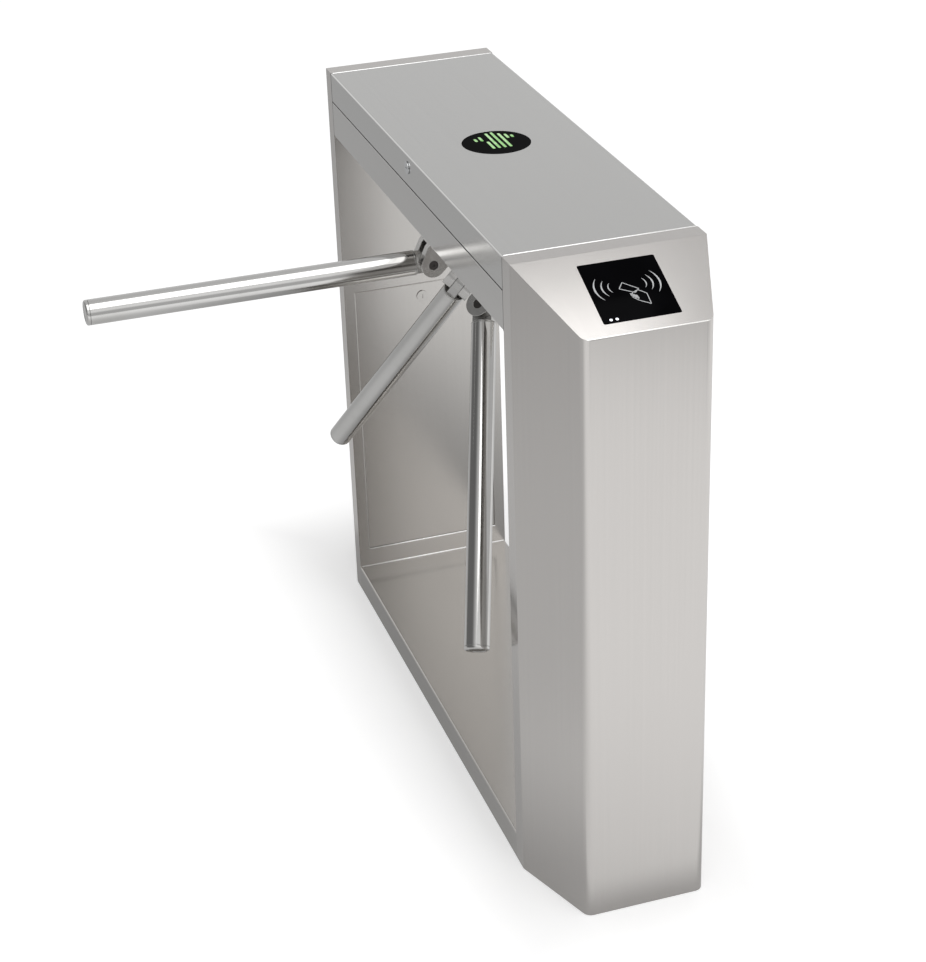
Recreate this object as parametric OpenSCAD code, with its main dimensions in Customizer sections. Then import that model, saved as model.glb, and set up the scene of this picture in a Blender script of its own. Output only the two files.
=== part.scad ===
// Tripod turnstile: a bridge cabinet with two legs, and a three-arm head below the beam.
// +X runs along the cabinet, the arms reach out to -Y, +Z is up.
// The origin is on the floor, midway between the legs.

/* [Cabinet] */
// Length of the cabinet over its two end faces
cabinet_l = 1200; // [1170:10:1280]
// Width of the cabinet across the beam
cabinet_w = 280; // [276:4:320]
// Height of the lid above the floor
cabinet_h = 980; // [970:5:1010]
// Length of each leg along the cabinet
leg_l = 170; // [160:5:175]
// Width of each flat end face
nose_w = 180; // [160:5:210]
// Length over which each leg tapers to its end face
nose_l = 140; // [130:5:155]
// Drop of the sloping reader face
nose_drop = 60; // [45:5:75]
// Thickness of the folded stainless sheet
sheet_t = 1.5; // [1.2:0.1:2]
// Radius of the upright corners at the end faces
nose_r = 14; // [8:1:20]
// Radius of the upright bends where each leg starts to taper
bend_r = 8; // [4:1:10]
// Radius of the lid's long edges and of the two bends of each reader face
fold_r = 2.5; // [2:0.5:6]
// Height of the tray that joins the legs at the floor
base_h = 45; // [35:5:60]
// Height of the beam's side wall below the lid skirt
beam_wall = 58; // [52:2:66]

/* [Lid] */
// Depth of the lid's side skirt
lid_skirt = 48; // [44:2:56]
// Opening line below the skirt, filled by the seal
lid_line = 2; // [1.5:0.5:3]
// Gap between the lid and each leg
lid_gap = 0.75; // [0.5:0.25:1.5]
// Diameter of the round indicator window
indicator_d = 104; // [80:2:120]
// Height of the lid lock above the skirt's lower edge
lock_rise = 28; // [24:1:30]

/* [Doors] */
// Width of each access door
door_w = 240; // [200:5:250]
// Height of each access door
door_h = 503; // [400:5:560]
// Height of the doors' lower edge above the floor
door_z = 82; // [70:2:120]
// Gap round each door
door_gap = 0.75; // [0.5:0.25:1.5]
// Depth of the door's folded rim
door_rim = 14; // [8:1:20]
// Distance of the door lock below the door's upper edge
door_lock_drop = 23; // [19:1:30]

/* [Reader windows] */
// Side of each square reader window
reader_w = 108; // [80:2:112]
// Corner radius of the reader windows
reader_r = 2; // [1:1:6]

/* [Head] */
// Depth below the lid's upper face of the point where the three arm axes meet
head_drop = 172; // [166:2:180]
// Distance of that point behind the cabinet's middle line, towards the arms
head_y = 22; // [18:1:26]
// Tilt of the shaft below the horizontal, and the half angle of the arm cone
head_tilt = 45; // [43:1:47]
// Distance of each pivot pin from the meeting point, along the arm
pin_l = 90; // [84:1:96]
// Width of a slotted ear across its two cheeks
ear_w = 46; // [42:1:52]
// Width of the slot between the cheeks
ear_slot = 16; // [12:1:18]
// Radius of an ear round its pin
ear_r = 19.5; // [18:0.5:21]
// Diameter of the arm pivot pins
pin_d = 10; // [8:1:12]

/* [Arms] */
// Diameter of the arm tubes
arm_d = 38; // [34:1:40]
// Wall of the arm tubes
arm_wall = 1.5; // [1.2:0.1:2.5]
// Reach of an arm from its pin to its tip
arm_l = 526; // [480:2:530]
// Distance from the pin to the tube's root
arm_root = 24; // [22:1:28]
// Depth of the visible end cap
cap_l = 6; // [4:1:10]

/* [Mechanism] */
// Diameter of the main shaft
shaft_d = 30; // [26:1:32]
// Outer diameter of the shaft bearings
bearing_d = 55; // [50:1:60]
// Width of a shaft bearing
bearing_w = 13; // [11:1:15]
// Diameter of the index disc
index_d = 120; // [112:2:124]
// Number of notches in the index disc
index_notches = 6; // [6:6:12]
// Swing of a pawl between free and locked
pawl_swing = 10; // [9:1:11]
// Teeth of the gear on the shaft
gear_teeth = 40; // [38:1:42]
// Teeth of the damper pinion
pinion_teeth = 18; // [17:1:19]
// Module of both gears
gear_module = 2; // [1.9:0.05:2.1]

/* [Floor fixing] */
// Distance of the inner anchor holes from a leg's walkway side
anchor_in_x = 30; // [20:5:35]
// Distance of the outer anchor holes from the end face
anchor_end_x = 40; // [35:5:60]
// Distance between the inner anchor holes across a leg
anchor_inner_y = 220; // [180:5:230]
// Distance between the outer anchor holes across a leg
anchor_outer_y = 140; // [100:5:150]
// Diameter of the anchor holes
anchor_d = 14; // [10:1:16]
// Thickness of the foot plates
foot_t = 6; // [5:1:10]
// Diameter of the cable entry in each foot plate
entry_d = 40; // [25:1:50]

/* [Hidden] */

// Smoothness of round work
$fn = 64;
// Colours
steel = "#b9b7b2";
bright = "#cfcdc8";
dark_steel = "#6d6b68";
black = "#17181a";
green_board = "#2f6b46";
zinc = "#a7abb0";
brass = "#b59a5b";
copper = "#8c4a2b";

// Gaps that many pieces share
cut = 5;          // overrun of a cut past the face it opens
seat = 0.3;       // gap between two pieces that move on each other face to face
run_fit = 0.05;   // radial clearance of a turning fit

// Lines of the cabinet
half_l = cabinet_l / 2;
half_w = cabinet_w / 2;
open_x = half_l - leg_l;
opening_l = 2 * open_x;
bend_x = half_l - nose_l;
nose_z = cabinet_h - nose_drop;
skirt_z = cabinet_h - lid_skirt;
beam_top = skirt_z - lid_line;
beam_z = beam_top - beam_wall;
head_z = cabinet_h - head_drop;
slope_angle = atan(nose_drop / nose_l);

// Direction, length and corner helpers for outlines
function unit(v) = v / norm(v);
function corner_angle(a, b, c) = acos(unit(a - b) * unit(c - b));
function bisector(a, b, c) = unit(unit(a - b) + unit(c - b));
function before(p, i) = p[(i + len(p) - 1) % len(p)];
function after(p, i) = p[(i + 1) % len(p)];
// A convex outline with each edge moved inwards by d
function inset(p, d) = [
  for (i = [0 : len(p) - 1])
    p[i] + bisector(before(p, i), p[i], after(p, i))
      * d / sin(corner_angle(before(p, i), p[i], after(p, i)) / 2)
];
// Point at radius r and angle a
function polar(r, a) = [r * cos(a), r * sin(a)];

// A convex outline whose corners are rounded, each by its own radius
module soft(p, radii) {
  polygon([
    for (i = [0 : len(p) - 1])
      let (a = before(p, i), b = p[i], c = after(p, i),
           t = radii[i] > 0 ? radii[i] / tan(corner_angle(a, b, c) / 2) : 0)
      each (radii[i] > 0 ? [b + unit(a - b) * t, b + unit(c - b) * t] : [b])
  ]);
  for (i = [0 : len(p) - 1])
    if (radii[i] > 0)
      translate(p[i] + bisector(before(p, i), p[i], after(p, i)) * radii[i]
                / sin(corner_angle(before(p, i), p[i], after(p, i)) / 2))
        circle(radii[i]);
}

// A rectangle about the origin with round corners
module soft_rect(w, h, r)
  soft([[-w / 2, -h / 2], [w / 2, -h / 2], [w / 2, h / 2], [-w / 2, h / 2]], [r, r, r, r]);

// A tube or a ring
module ring(outer, inner, h) difference() {
  cylinder(r = outer, h = h);
  translate([0, 0, -cut]) cylinder(r = inner, h = h + 2 * cut);
}

// A box given by its low and high corners
module block(low, high) translate(low) cube(high - low);

// An extrusion along Y, centred, of an outline drawn in X and Z
module across(width) rotate([90, 0, 0]) linear_extrude(width, center = true) children();

// An extrusion along X, centred, of an outline drawn in Y and Z
module along(length) rotate([90, 0, 90]) linear_extrude(length, center = true) children();

// The same piece on the near leg and, mirrored, on the far leg
module both_ends() {
  children();
  mirror([1, 0, 0]) children();
}

// Head frame: z runs out along the shaft, y points from the shaft to the blocking arm
module at_head() translate([0, -head_y, head_z]) rotate([90 + head_tilt, 0, 0]) children();
// Arm frame: the origin is on the pivot pin, z runs out along the arm, x along the pin
pin_r = pin_l * sin(head_tilt);
pin_h = pin_l * cos(head_tilt);
module at_arm(turn) at_head() rotate([0, 0, turn]) translate([0, pin_r, pin_h]) rotate([-head_tilt, 0, 0]) children();
near_turn = -120;
far_turn = 120;

// Base tray: a folded channel, its edges turned in at the floor
base_flange = 25;
module base_tray() color(bright) along(opening_l) {
  difference() {
    translate([-half_w, 0]) square([cabinet_w, base_h]);
    translate([sheet_t - half_w, sheet_t]) square([cabinet_w - 2 * sheet_t, base_h - 2 * sheet_t]);
    translate([base_flange - half_w, -cut]) square([cabinet_w - 2 * base_flange, sheet_t + 2 * cut]);
  }
}

// Leg: plan and side outlines, both from a chosen inner edge x0
function leg_plan(x0) = [
  [x0, -half_w], [bend_x, -half_w], [half_l, -nose_w / 2],
  [half_l, nose_w / 2], [bend_x, half_w], [x0, half_w]
];
function leg_side(x0, z0) = [[x0, z0], [half_l, z0], [half_l, nose_z], [bend_x, cabinet_h], [x0, cabinet_h]];
module leg_form(x0, z0, d) intersection() {
  translate([0, 0, z0]) linear_extrude(cabinet_h - z0)
    soft(inset(leg_plan(x0), d), [0, bend_r - d, nose_r - d, nose_r - d, bend_r - d, 0]);
  across(2 * cabinet_w) soft(inset(leg_side(x0, z0), d), [0, 0, fold_r - d, fold_r - d, 0]);
}

// Places a piece on the middle of the sloping reader face, its z square to the face
module at_slope() translate([half_l - nose_l / 2, 0, cabinet_h - nose_drop / 2])
  rotate([0, slope_angle, 0]) children();

reader_gap = 0.5;
module leg_shell() difference() {
  leg_form(open_x, 0, 0);
  leg_form(open_x - 2 * sheet_t, -2 * sheet_t, sheet_t);
  at_slope() translate([0, 0, -cut]) linear_extrude(2 * cut)
    soft_rect(reader_w + 2 * reader_gap, reader_w + 2 * reader_gap, reader_r + reader_gap);
}
module near_leg_shell() color(steel) leg_shell();
module far_leg_shell() color(steel) mirror([1, 0, 0]) leg_shell();

// Leg panels: the sheets that close the legs towards the opening, with the door openings
cable_way_w = 90;
cable_way_h = 30;
cable_way_z = beam_z + beam_wall / 8;
module leg_panel() difference() {
  block([open_x, sheet_t - half_w, 0], [open_x + sheet_t, half_w - sheet_t, cabinet_h - sheet_t]);
  block([open_x - cut, -door_w / 2 - door_gap, door_z - door_gap],
        [open_x + cut, door_w / 2 + door_gap, door_z + door_h + door_gap]);
  block([open_x - cut, 0, cable_way_z], [open_x + cut, cable_way_w, cable_way_z + cable_way_h]);
}
module leg_panels() color(steel) both_ends() leg_panel();

// Foot plates: drilled for the floor anchors and the cable
inner_x = open_x + anchor_in_x;
outer_x = half_l - anchor_end_x;
entry_x = (inner_x + outer_x) / 2;
module foot_plate() difference() {
  linear_extrude(foot_t)
    soft(inset(leg_plan(open_x), sheet_t), [0, bend_r - sheet_t, nose_r - sheet_t, nose_r - sheet_t, bend_r - sheet_t, 0]);
  for (s = [-1, 1]) {
    translate([inner_x, s * anchor_inner_y / 2, -cut]) cylinder(d = anchor_d, h = foot_t + 2 * cut);
    translate([outer_x, s * anchor_outer_y / 2, -cut]) cylinder(d = anchor_d, h = foot_t + 2 * cut);
  }
  translate([entry_x, 0, -cut]) cylinder(d = entry_d, h = foot_t + 2 * cut);
}
module foot_plates() color(dark_steel) both_ends() foot_plate();

// Access door: a folded pan that hooks in at its lower edge, with a lock near its upper edge
hook_w = 30;
hook_drop = 10;
hook_y = door_w / 4;
door_top = door_z + door_h;
lock_z = door_top - door_lock_drop;
barrel_r = 8;
barrel_l = 11;
head_r = 10;
head_t = 1.8;
cam_w = 10;
cam_t = 2.5;
cam_l = 30;
key_w = 1.4;
key_h = 7;
module leg_door() difference() {
  union() {
    block([open_x, -door_w / 2, door_z], [open_x + door_rim, door_w / 2, door_top]);
    for (s = [-1, 1])
      block([open_x + sheet_t + seat, s * hook_y - hook_w / 2, door_z - hook_drop],
            [open_x + 2 * sheet_t + seat, s * hook_y + hook_w / 2, door_z + sheet_t]);
  }
  block([open_x + sheet_t, sheet_t - door_w / 2, door_z + sheet_t],
        [open_x + door_rim + cut, door_w / 2 - sheet_t, door_top - sheet_t]);
  block([open_x + sheet_t, -cam_l, door_top - 2 * sheet_t], [open_x + door_rim + cut, cam_l, door_top + cut]);
  translate([open_x - cut, 0, lock_z]) rotate([0, 90, 0]) cylinder(r = barrel_r + run_fit, h = sheet_t + 2 * cut);
}
module near_leg_door() color(steel) leg_door();
module far_leg_door() color(steel) mirror([1, 0, 0]) leg_door();

// Cam lock: its axis is z, its head outside at z = 0, its cam at the inner end pointing to +x
module cam_lock(wall, cam_z, reach) difference() {
  union() {
    translate([0, 0, seat]) cylinder(r = head_r, h = head_t);
    translate([0, 0, -cam_z]) cylinder(r = barrel_r, h = cam_z + seat);
    translate([0, 0, -cam_z - cam_t]) block([-cam_w / 2, -cam_w / 2, 0], [reach, cam_w / 2, cam_t]);
  }
  block([-key_w / 2, -key_h / 2, seat + head_t - key_w], [key_w / 2, key_h / 2, seat + head_t + cut]);
}
cam_z = sheet_t + 3 * sheet_t;
module door_lock() translate([open_x, 0, lock_z]) rotate([0, -90, 0]) rotate([0, 0, 90]) cam_lock(sheet_t, cam_z, cam_l);
module near_door_lock() color(zinc) door_lock();
module far_door_lock() color(zinc) mirror([1, 0, 0]) door_lock();

// Cowl outline below the beam, in Y and Z: its front lies square to the shaft
cowl_w = 320;
cowl_drop = 142;
cowl_back = 125;
cowl_chamfer = 30;
cowl_r = 6;
cowl_front = 2.5;   // distance of the cowl's front face behind the arms' meeting point
cowl_z = beam_z - cowl_drop;
// y of the cowl's front face at height z
function front_y(z) = -head_y + cowl_front / cos(head_tilt) - (z - head_z) * tan(head_tilt);
cowl_outline = [
  [front_y(beam_z), beam_z], [front_y(cowl_z), cowl_z], [cowl_back - cowl_chamfer, cowl_z],
  [cowl_back, cowl_z + cowl_chamfer], [cowl_back, beam_z]
];

// Beam tray: side walls, floor with the mechanism opening, and turned-in upper edges
beam_flange = 20;
module beam_tray() color(steel) difference() {
  along(opening_l) {
    difference() {
      translate([-half_w, beam_z]) square([cabinet_w, beam_wall]);
      translate([sheet_t - half_w, beam_z + sheet_t]) square([cabinet_w - 2 * sheet_t, beam_wall - 2 * sheet_t]);
      translate([beam_flange - half_w, beam_top - beam_wall / 2]) square([cabinet_w - 2 * beam_flange, beam_wall]);
    }
  }
  block([sheet_t - cowl_w / 2, front_y(beam_z) + sheet_t / cos(head_tilt), beam_z - cut],
        [cowl_w / 2 - sheet_t, cowl_back - sheet_t, beam_z + sheet_t + cut]);
}

// Lid seal: one strip along each edge of the beam
seal_w = 9;
seal_inset = 0.6;
module lid_gasket() color(black)
  for (s = [-1, 1])
    block([lid_gap - open_x, s * (half_w - seal_inset - seal_w / 2) - seal_w / 2, beam_top],
          [open_x - lid_gap, s * (half_w - seal_inset - seal_w / 2) + seal_w / 2, skirt_z - seat]);

// Lid: folded cover with closed ends, bored for the indicator and the lock
lid_end = 22;
lid_lock_z = skirt_z + lock_rise;
lid_half = open_x - lid_gap;
function lid_outline(d) = inset([[-half_w, skirt_z], [half_w, skirt_z], [half_w, cabinet_h], [-half_w, cabinet_h]], d);
module lid() color(steel) difference() {
  along(2 * lid_half) soft(lid_outline(0), [0, 0, fold_r, fold_r]);
  along(2 * (lid_half - sheet_t)) {
    soft(lid_outline(sheet_t), [0, 0, fold_r - sheet_t, fold_r - sheet_t]);
    translate([sheet_t - half_w, skirt_z - cut]) square([cabinet_w - 2 * sheet_t, 2 * cut]);
  }
  along(2 * lid_half + 2 * cut) translate([sheet_t - half_w, skirt_z - cut])
    square([cabinet_w - 2 * sheet_t, lid_skirt - lid_end + cut]);
  translate([0, 0, cabinet_h - cut]) cylinder(d = indicator_d, h = 2 * cut);
  translate([0, cut - half_w, lid_lock_z]) rotate([90, 0, 0]) cylinder(r = barrel_r + run_fit, h = 2 * cut);
}

// Lid lock and the keeper that its cam turns under
lid_cam_l = 24;
lid_cam_z = 15;
keeper_gap = 1.2;
keeper_t = 3;
keeper_w = 10;
keeper_post = 6;
module lid_lock() color(zinc)
  translate([0, -half_w, lid_lock_z]) rotate([90, 90, 0]) cam_lock(sheet_t, lid_cam_z, lid_cam_l);
module lock_keeper() color(zinc) {
  lip_z = lid_lock_z + cam_w / 2 + keeper_gap;
  post_x = lid_cam_l + keeper_gap;
  mid_y = -half_w + lid_cam_z + cam_t / 2;
  block([post_x, mid_y - keeper_w / 2, beam_top], [post_x + keeper_post, mid_y + keeper_w / 2, lip_z + keeper_t]);
  block([barrel_r + 2 * keeper_gap, mid_y - keeper_w / 2, lip_z], [post_x + keeper_post, mid_y + keeper_w / 2, lip_z + keeper_t]);
}

// Lid hinges: three butt hinges on the back, their pins in the beam's knuckles
hinge_x = open_x * 2 / 3;
knuckle_r = 4.5;
hinge_pin_r = 2;
knuckle_l = 12;
leaf_t = 1.5;
leaf_h = 22;
leaf_w = 3 * knuckle_l;
hinge_y = half_w + knuckle_r + seat;
hinge_z = skirt_z - lid_line / 2;
module knuckle(x0, bore) translate([x0, hinge_y, hinge_z]) rotate([0, 90, 0]) ring(knuckle_r, bore, knuckle_l - seat);
module lid_hinge_leaves() color(zinc) for (s = [-1, 0, 1]) translate([s * hinge_x, 0, 0]) {
  difference() {
    translate([-leaf_w / 2, half_w, skirt_z + seat]) cube([leaf_w, leaf_t, leaf_h]);
    translate([-leaf_w, hinge_y, hinge_z]) rotate([0, 90, 0]) cylinder(r = knuckle_r + seat, h = 2 * leaf_w);
  }
  difference() {
    union() {
      translate([-knuckle_l / 2 + seat / 2, half_w, hinge_z]) cube([knuckle_l - seat, leaf_t, leaf_h / 2]);
      knuckle(-knuckle_l / 2 + seat / 2, hinge_pin_r + run_fit);
    }
    translate([-leaf_w, hinge_y, hinge_z]) rotate([0, 90, 0]) cylinder(r = hinge_pin_r + run_fit, h = 2 * leaf_w);
    block([-leaf_w, half_w - cut, hinge_z - leaf_h], [leaf_w, half_w + seat, skirt_z]);
  }
}
module beam_hinge_leaves() color(zinc) for (s = [-1, 0, 1]) translate([s * hinge_x, 0, 0]) {
  difference() {
    union() {
      translate([-leaf_w / 2, half_w, beam_top - leaf_h]) cube([leaf_w, leaf_t, leaf_h]);
      for (x0 = [-leaf_w / 2 + seat, knuckle_l / 2 + seat / 2]) {
        knuckle(x0, hinge_pin_r);
        translate([x0, half_w, beam_top - leaf_h / 2]) cube([knuckle_l - seat, leaf_t, leaf_h / 2]);
      }
    }
    translate([-knuckle_l / 2 - seat / 2, hinge_y, hinge_z]) rotate([0, 90, 0])
      cylinder(r = knuckle_r + seat, h = knuckle_l + seat);
    translate([-leaf_w, hinge_y, hinge_z]) rotate([0, 90, 0]) cylinder(r = hinge_pin_r, h = 2 * leaf_w);
  }
}
module hinge_pins() color(dark_steel) for (s = [-1, 0, 1])
  translate([s * hinge_x - leaf_w / 2, hinge_y, hinge_z]) rotate([0, 90, 0]) cylinder(r = hinge_pin_r, h = leaf_w);

// Indicator: a black window set flush in the lid, and the lamp board under it
window_rim = 7;
window_t = 4;
lamp_board_t = 1.6;
lamp_gap = 5;
lamp_post_r = 3;
module indicator_window() color(black) {
  translate([0, 0, cabinet_h - sheet_t]) cylinder(r = indicator_d / 2, h = sheet_t);
  translate([0, 0, cabinet_h - sheet_t - window_t]) cylinder(r = indicator_d / 2 + window_rim, h = window_t);
}
module indicator_board() color(green_board) translate([0, 0, cabinet_h - sheet_t - window_t - lamp_gap]) {
  translate([0, 0, -lamp_board_t]) cylinder(r = indicator_d / 2, h = lamp_board_t);
  for (a = [45 : 90 : 315]) rotate([0, 0, a]) translate([indicator_d / 2 - 2 * lamp_post_r, 0, 0])
    cylinder(r = lamp_post_r, h = lamp_gap);
}

// Reader windows: black glass flush with the slope, a wider rim bonded inside
reader_rim = 6;
glass_t = 3;
glue_t = 0.05;
glass_back = sheet_t + glue_t + glass_t;
module reader_window() at_slope() {
  translate([0, 0, -sheet_t - glue_t]) linear_extrude(sheet_t + glue_t) soft_rect(reader_w, reader_w, reader_r);
  translate([0, 0, -glass_back]) linear_extrude(glass_t)
    soft_rect(reader_w + 2 * reader_rim, reader_w + 2 * reader_rim, reader_r);
}
module reader_windows() color(black) both_ends() reader_window();

// Reader modules: the antenna housing behind each window
reader_box_w = 92;
reader_box_t = 22;
reader_plug_w = 24;
reader_plug_t = 6;
module reader_module() at_slope() translate([0, 0, -glass_back]) {
  translate([0, 0, -reader_box_t]) linear_extrude(reader_box_t) soft_rect(reader_box_w, reader_box_w, reader_r);
  translate([0, 0, -reader_box_t - reader_plug_t]) linear_extrude(reader_plug_t) square([reader_plug_w / 2, reader_plug_w], center = true);
}
module reader_modules() color(dark_steel) both_ends() reader_module();

// Mechanism cowl: the folded box below the beam, with a flange on each side
cowl_hole_r = 34;
cowl_flange = 18;
module mechanism_cowl() color(steel) difference() {
  union() {
    along(cowl_w) soft(cowl_outline, [0, cowl_r, cowl_r, cowl_r, 0]);
    block([-cowl_w / 2 - cowl_flange, front_y(beam_z) + cut, beam_z - sheet_t],
          [cowl_w / 2 + cowl_flange, cowl_back, beam_z]);
  }
  intersection() {
    along(cowl_w - 2 * sheet_t) polygon([
      [front_y(beam_z + cowl_drop) + sheet_t / cos(head_tilt), beam_z + cowl_drop],
      [front_y(cowl_z + sheet_t) + sheet_t / cos(head_tilt), cowl_z + sheet_t],
      [cowl_back - cowl_chamfer - sheet_t / 2, cowl_z + sheet_t],
      [cowl_back - sheet_t, cowl_z + cowl_chamfer + sheet_t / 2],
      [cowl_back - sheet_t, beam_z + cowl_drop]
    ]);
    block([-cowl_w, -cabinet_w, cowl_z], [cowl_w, cabinet_w, beam_z + cut]);
  }
  at_head() translate([0, 0, -cowl_front - cut]) cylinder(r = cowl_hole_r, h = 2 * cut);
}

// Cowl screws: button heads below the flanges
screw_r = 5;
screw_t = 2.8;
module cowl_screws() color(zinc)
  for (s = [-1, 1], share = [0.15, 0.5, 0.85])
    translate([s * (cowl_w / 2 + cowl_flange / 2), front_y(beam_z) + share * (cowl_back - front_y(beam_z)), beam_z - sheet_t - screw_t])
      rotate_extrude() polygon([[0, 0], [screw_r / 2, 0], [screw_r, screw_t / 2], [screw_r, screw_t], [0, screw_t]]);

// Mechanism frame: distances behind the meeting point, along the shaft
front_t = 8;
front_low = cowl_front + sheet_t + glue_t;
front_back = front_low + front_t;
frame_depth = 84;
rear_t = 6;
rear_low = front_back + frame_depth;
rear_back = rear_low + rear_t;
frame_w = 300;
front_up = 75;
front_down = 95;
rear_up = 98;
rear_down = 75;
plate_hole_r = 20;
housing_wall = 8;
housing_r = bearing_d / 2 + housing_wall;
housing_lip = 14;
housing_flange_r = housing_r + housing_lip;
housing_flange_t = 10;
housing_l = 72;
gear_t = 10;
gear_gap = 4;
gear_low = rear_back + gear_gap;
sol_w = 28;
rod_r = 4;
index_t = 8;
index_low = rear_back + sol_w / 2 + rod_r + seat;
index_back = index_low + index_t;
sensor_r = 6;
sensor_l = 30;
sensor_at = index_d / 2 - sensor_r;
sensor_turn = 30;
damper_r = 12;
damper_pin_r = 4;
damper_l = 18;
gear_reach = (gear_teeth + pinion_teeth) * gear_module / 2;
module front_plate() color(zinc) at_head() difference() {
  block([-frame_w / 2, -front_down, -front_back], [frame_w / 2, front_up, -front_low]);
  translate([0, 0, -front_back - cut]) cylinder(r = plate_hole_r, h = front_t + 2 * cut);
}
module rear_plate() color(zinc) at_head() difference() {
  block([-frame_w / 2, -rear_down, -rear_back], [frame_w / 2, rear_up, -rear_low]);
  translate([0, 0, -rear_back - cut]) cylinder(r = plate_hole_r, h = rear_t + 2 * cut);
  translate([0, gear_reach, -rear_back - cut]) cylinder(r = damper_pin_r, h = rear_t + 2 * cut);
  for (s = [-1, 1]) rotate([0, 0, -90 + s * sensor_turn]) translate([sensor_at, 0, -rear_back - cut])
    cylinder(r = sensor_r, h = rear_t + 2 * cut);
}
side_t = 5;
side_half = 60;
side_x = frame_w / 2 - 2 * side_t;
module side_plates() color(zinc) at_head() for (s = [-1, 1])
  translate([s * side_x - side_t / 2, -side_half, -rear_low]) cube([side_t, 2 * side_half, frame_depth]);

// Hangers: angles that carry the frame on the beam's floor
hanger_w = 34;
hanger_h = 26;
hanger_t = 4;
hanger_y0 = -30;
hanger_y1 = 18;
hanger_x = side_x + side_t / 2;
module frame_hangers() color(zinc) both_ends() {
  block([hanger_x, hanger_y0, beam_z + sheet_t], [hanger_x + hanger_w, hanger_y1, beam_z + sheet_t + hanger_t]);
  block([hanger_x, hanger_y0, beam_z + sheet_t], [hanger_x + hanger_t, hanger_y1, beam_z + sheet_t + hanger_h]);
}

// Bearing housing, with a seat for a bearing at each end
race_lip = 3;
race_land = 4;
race_groove = 1;
module bearing_housing() color(dark_steel) at_head() translate([0, 0, -front_back - housing_l]) difference() {
  union() {
    cylinder(r = housing_r, h = housing_l);
    translate([0, 0, housing_l - housing_flange_t]) cylinder(r = housing_flange_r, h = housing_flange_t);
  }
  translate([0, 0, -cut]) cylinder(r = bearing_d / 2 - race_lip, h = housing_l + 2 * cut);
  translate([0, 0, -cut]) cylinder(d = bearing_d, h = bearing_w + cut);
  translate([0, 0, housing_l - bearing_w]) cylinder(d = bearing_d, h = bearing_w + cut);
}
module shaft_bearings() color(bright) at_head()
  for (z = [-front_back - bearing_w, -front_back - housing_l])
    translate([0, 0, z]) difference() {
      ring(bearing_d / 2, shaft_d / 2 + run_fit, bearing_w);
      translate([0, 0, bearing_w - race_groove]) ring(bearing_d / 2 - race_land, shaft_d / 2 + race_land, race_groove + cut);
    }

// Main shaft, with the flange that carries the hub
flange_r = 50;
flange_h = 8;
flange_z = 0.5;
collar_r = 19;
nut_t = 8;
nut_r = 24;
nut_over = 4;
shaft_end = index_back + nut_t + nut_over;
hub_low = flange_z + flange_h;
module main_shaft() color(dark_steel) at_head() {
  translate([0, 0, -shaft_end]) cylinder(d = shaft_d, h = shaft_end + hub_low);
  translate([0, 0, -front_back + seat]) cylinder(r = collar_r, h = front_back + flange_z);
  translate([0, 0, flange_z]) cylinder(r = flange_r, h = flange_h);
}
module shaft_nut() color(zinc) at_head() translate([0, 0, -index_back - nut_t]) difference() {
  cylinder(r = nut_r, h = nut_t, $fn = 6);
  translate([0, 0, -cut]) cylinder(d = shaft_d, h = nut_t + 2 * cut);
}

// Index disc: square notches for the pawls' teeth, and a boss that reaches the gear
tooth_w = 10;
tooth_in = 5;
notch_gap = 0.6;
index_boss_r = 24;
boss_h = index_back - gear_low - gear_t;
module index_disc() color(zinc) at_head() translate([0, 0, -index_back]) difference() {
  union() {
    cylinder(d = index_d, h = index_t);
    cylinder(r = index_boss_r, h = boss_h);
  }
  translate([0, 0, -cut]) cylinder(d = shaft_d, h = boss_h + 2 * cut);
  for (k = [0 : index_notches - 1]) rotate([0, 0, k * 360 / index_notches])
    block([index_d / 2 - tooth_in - 2 * notch_gap, -tooth_w / 2 - notch_gap, -cut],
          [index_d, tooth_w / 2 + notch_gap, index_t + cut]);
}

// Gears: involute teeth of one module
pressure = 20;
backlash = 0.25;
root_share = 1.25;
flank_steps = 3;
function inv(a) = tan(a) * 180 / PI - a;
function flank(base, r) = inv(acos(min(1, base / r)));
module spur(teeth, h) {
  rp = teeth * gear_module / 2;
  rb = rp * cos(pressure);
  ra = rp + gear_module - backlash;
  rf = rp - root_share * gear_module;
  r0 = max(rb, rf);
  half = 90 / teeth - backlash / rp * 90 / PI + flank(rb, rp);
  linear_extrude(h) polygon([
    for (k = [0 : teeth - 1]) let (c = k * 360 / teeth) each concat(
      [polar(rf, c - half)],
      [for (i = [0 : flank_steps]) let (r = r0 + (ra - r0) * i / flank_steps) polar(r, c - half + flank(rb, r))],
      [for (i = [flank_steps : -1 : 0]) let (r = r0 + (ra - r0) * i / flank_steps) polar(r, c + half - flank(rb, r))],
      [polar(rf, c + half)])
  ]);
}
module damper_gear() color(brass) at_head() translate([0, 0, -gear_low - gear_t]) difference() {
  rotate([0, 0, 90]) spur(gear_teeth, gear_t);
  translate([0, 0, -cut]) cylinder(d = shaft_d, h = gear_t + 2 * cut);
}

// Rotary damper in front of the rear plate, its pinion behind the plate in mesh with the gear
module damper() color(black) at_head() translate([0, gear_reach, 0]) {
  translate([0, 0, -rear_low]) cylinder(r = damper_r, h = damper_l);
  translate([0, 0, -gear_low - gear_t - seat]) cylinder(r = damper_pin_r, h = gear_low + gear_t + seat - rear_low);
}
module damper_pinion() color(brass) at_head() translate([0, gear_reach, -gear_low - gear_t]) difference() {
  rotate([0, 0, -90 + 180 / pinion_teeth]) spur(pinion_teeth, gear_t);
  translate([0, 0, -cut]) cylinder(r = damper_pin_r + run_fit, h = gear_t + 2 * cut);
}

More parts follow.
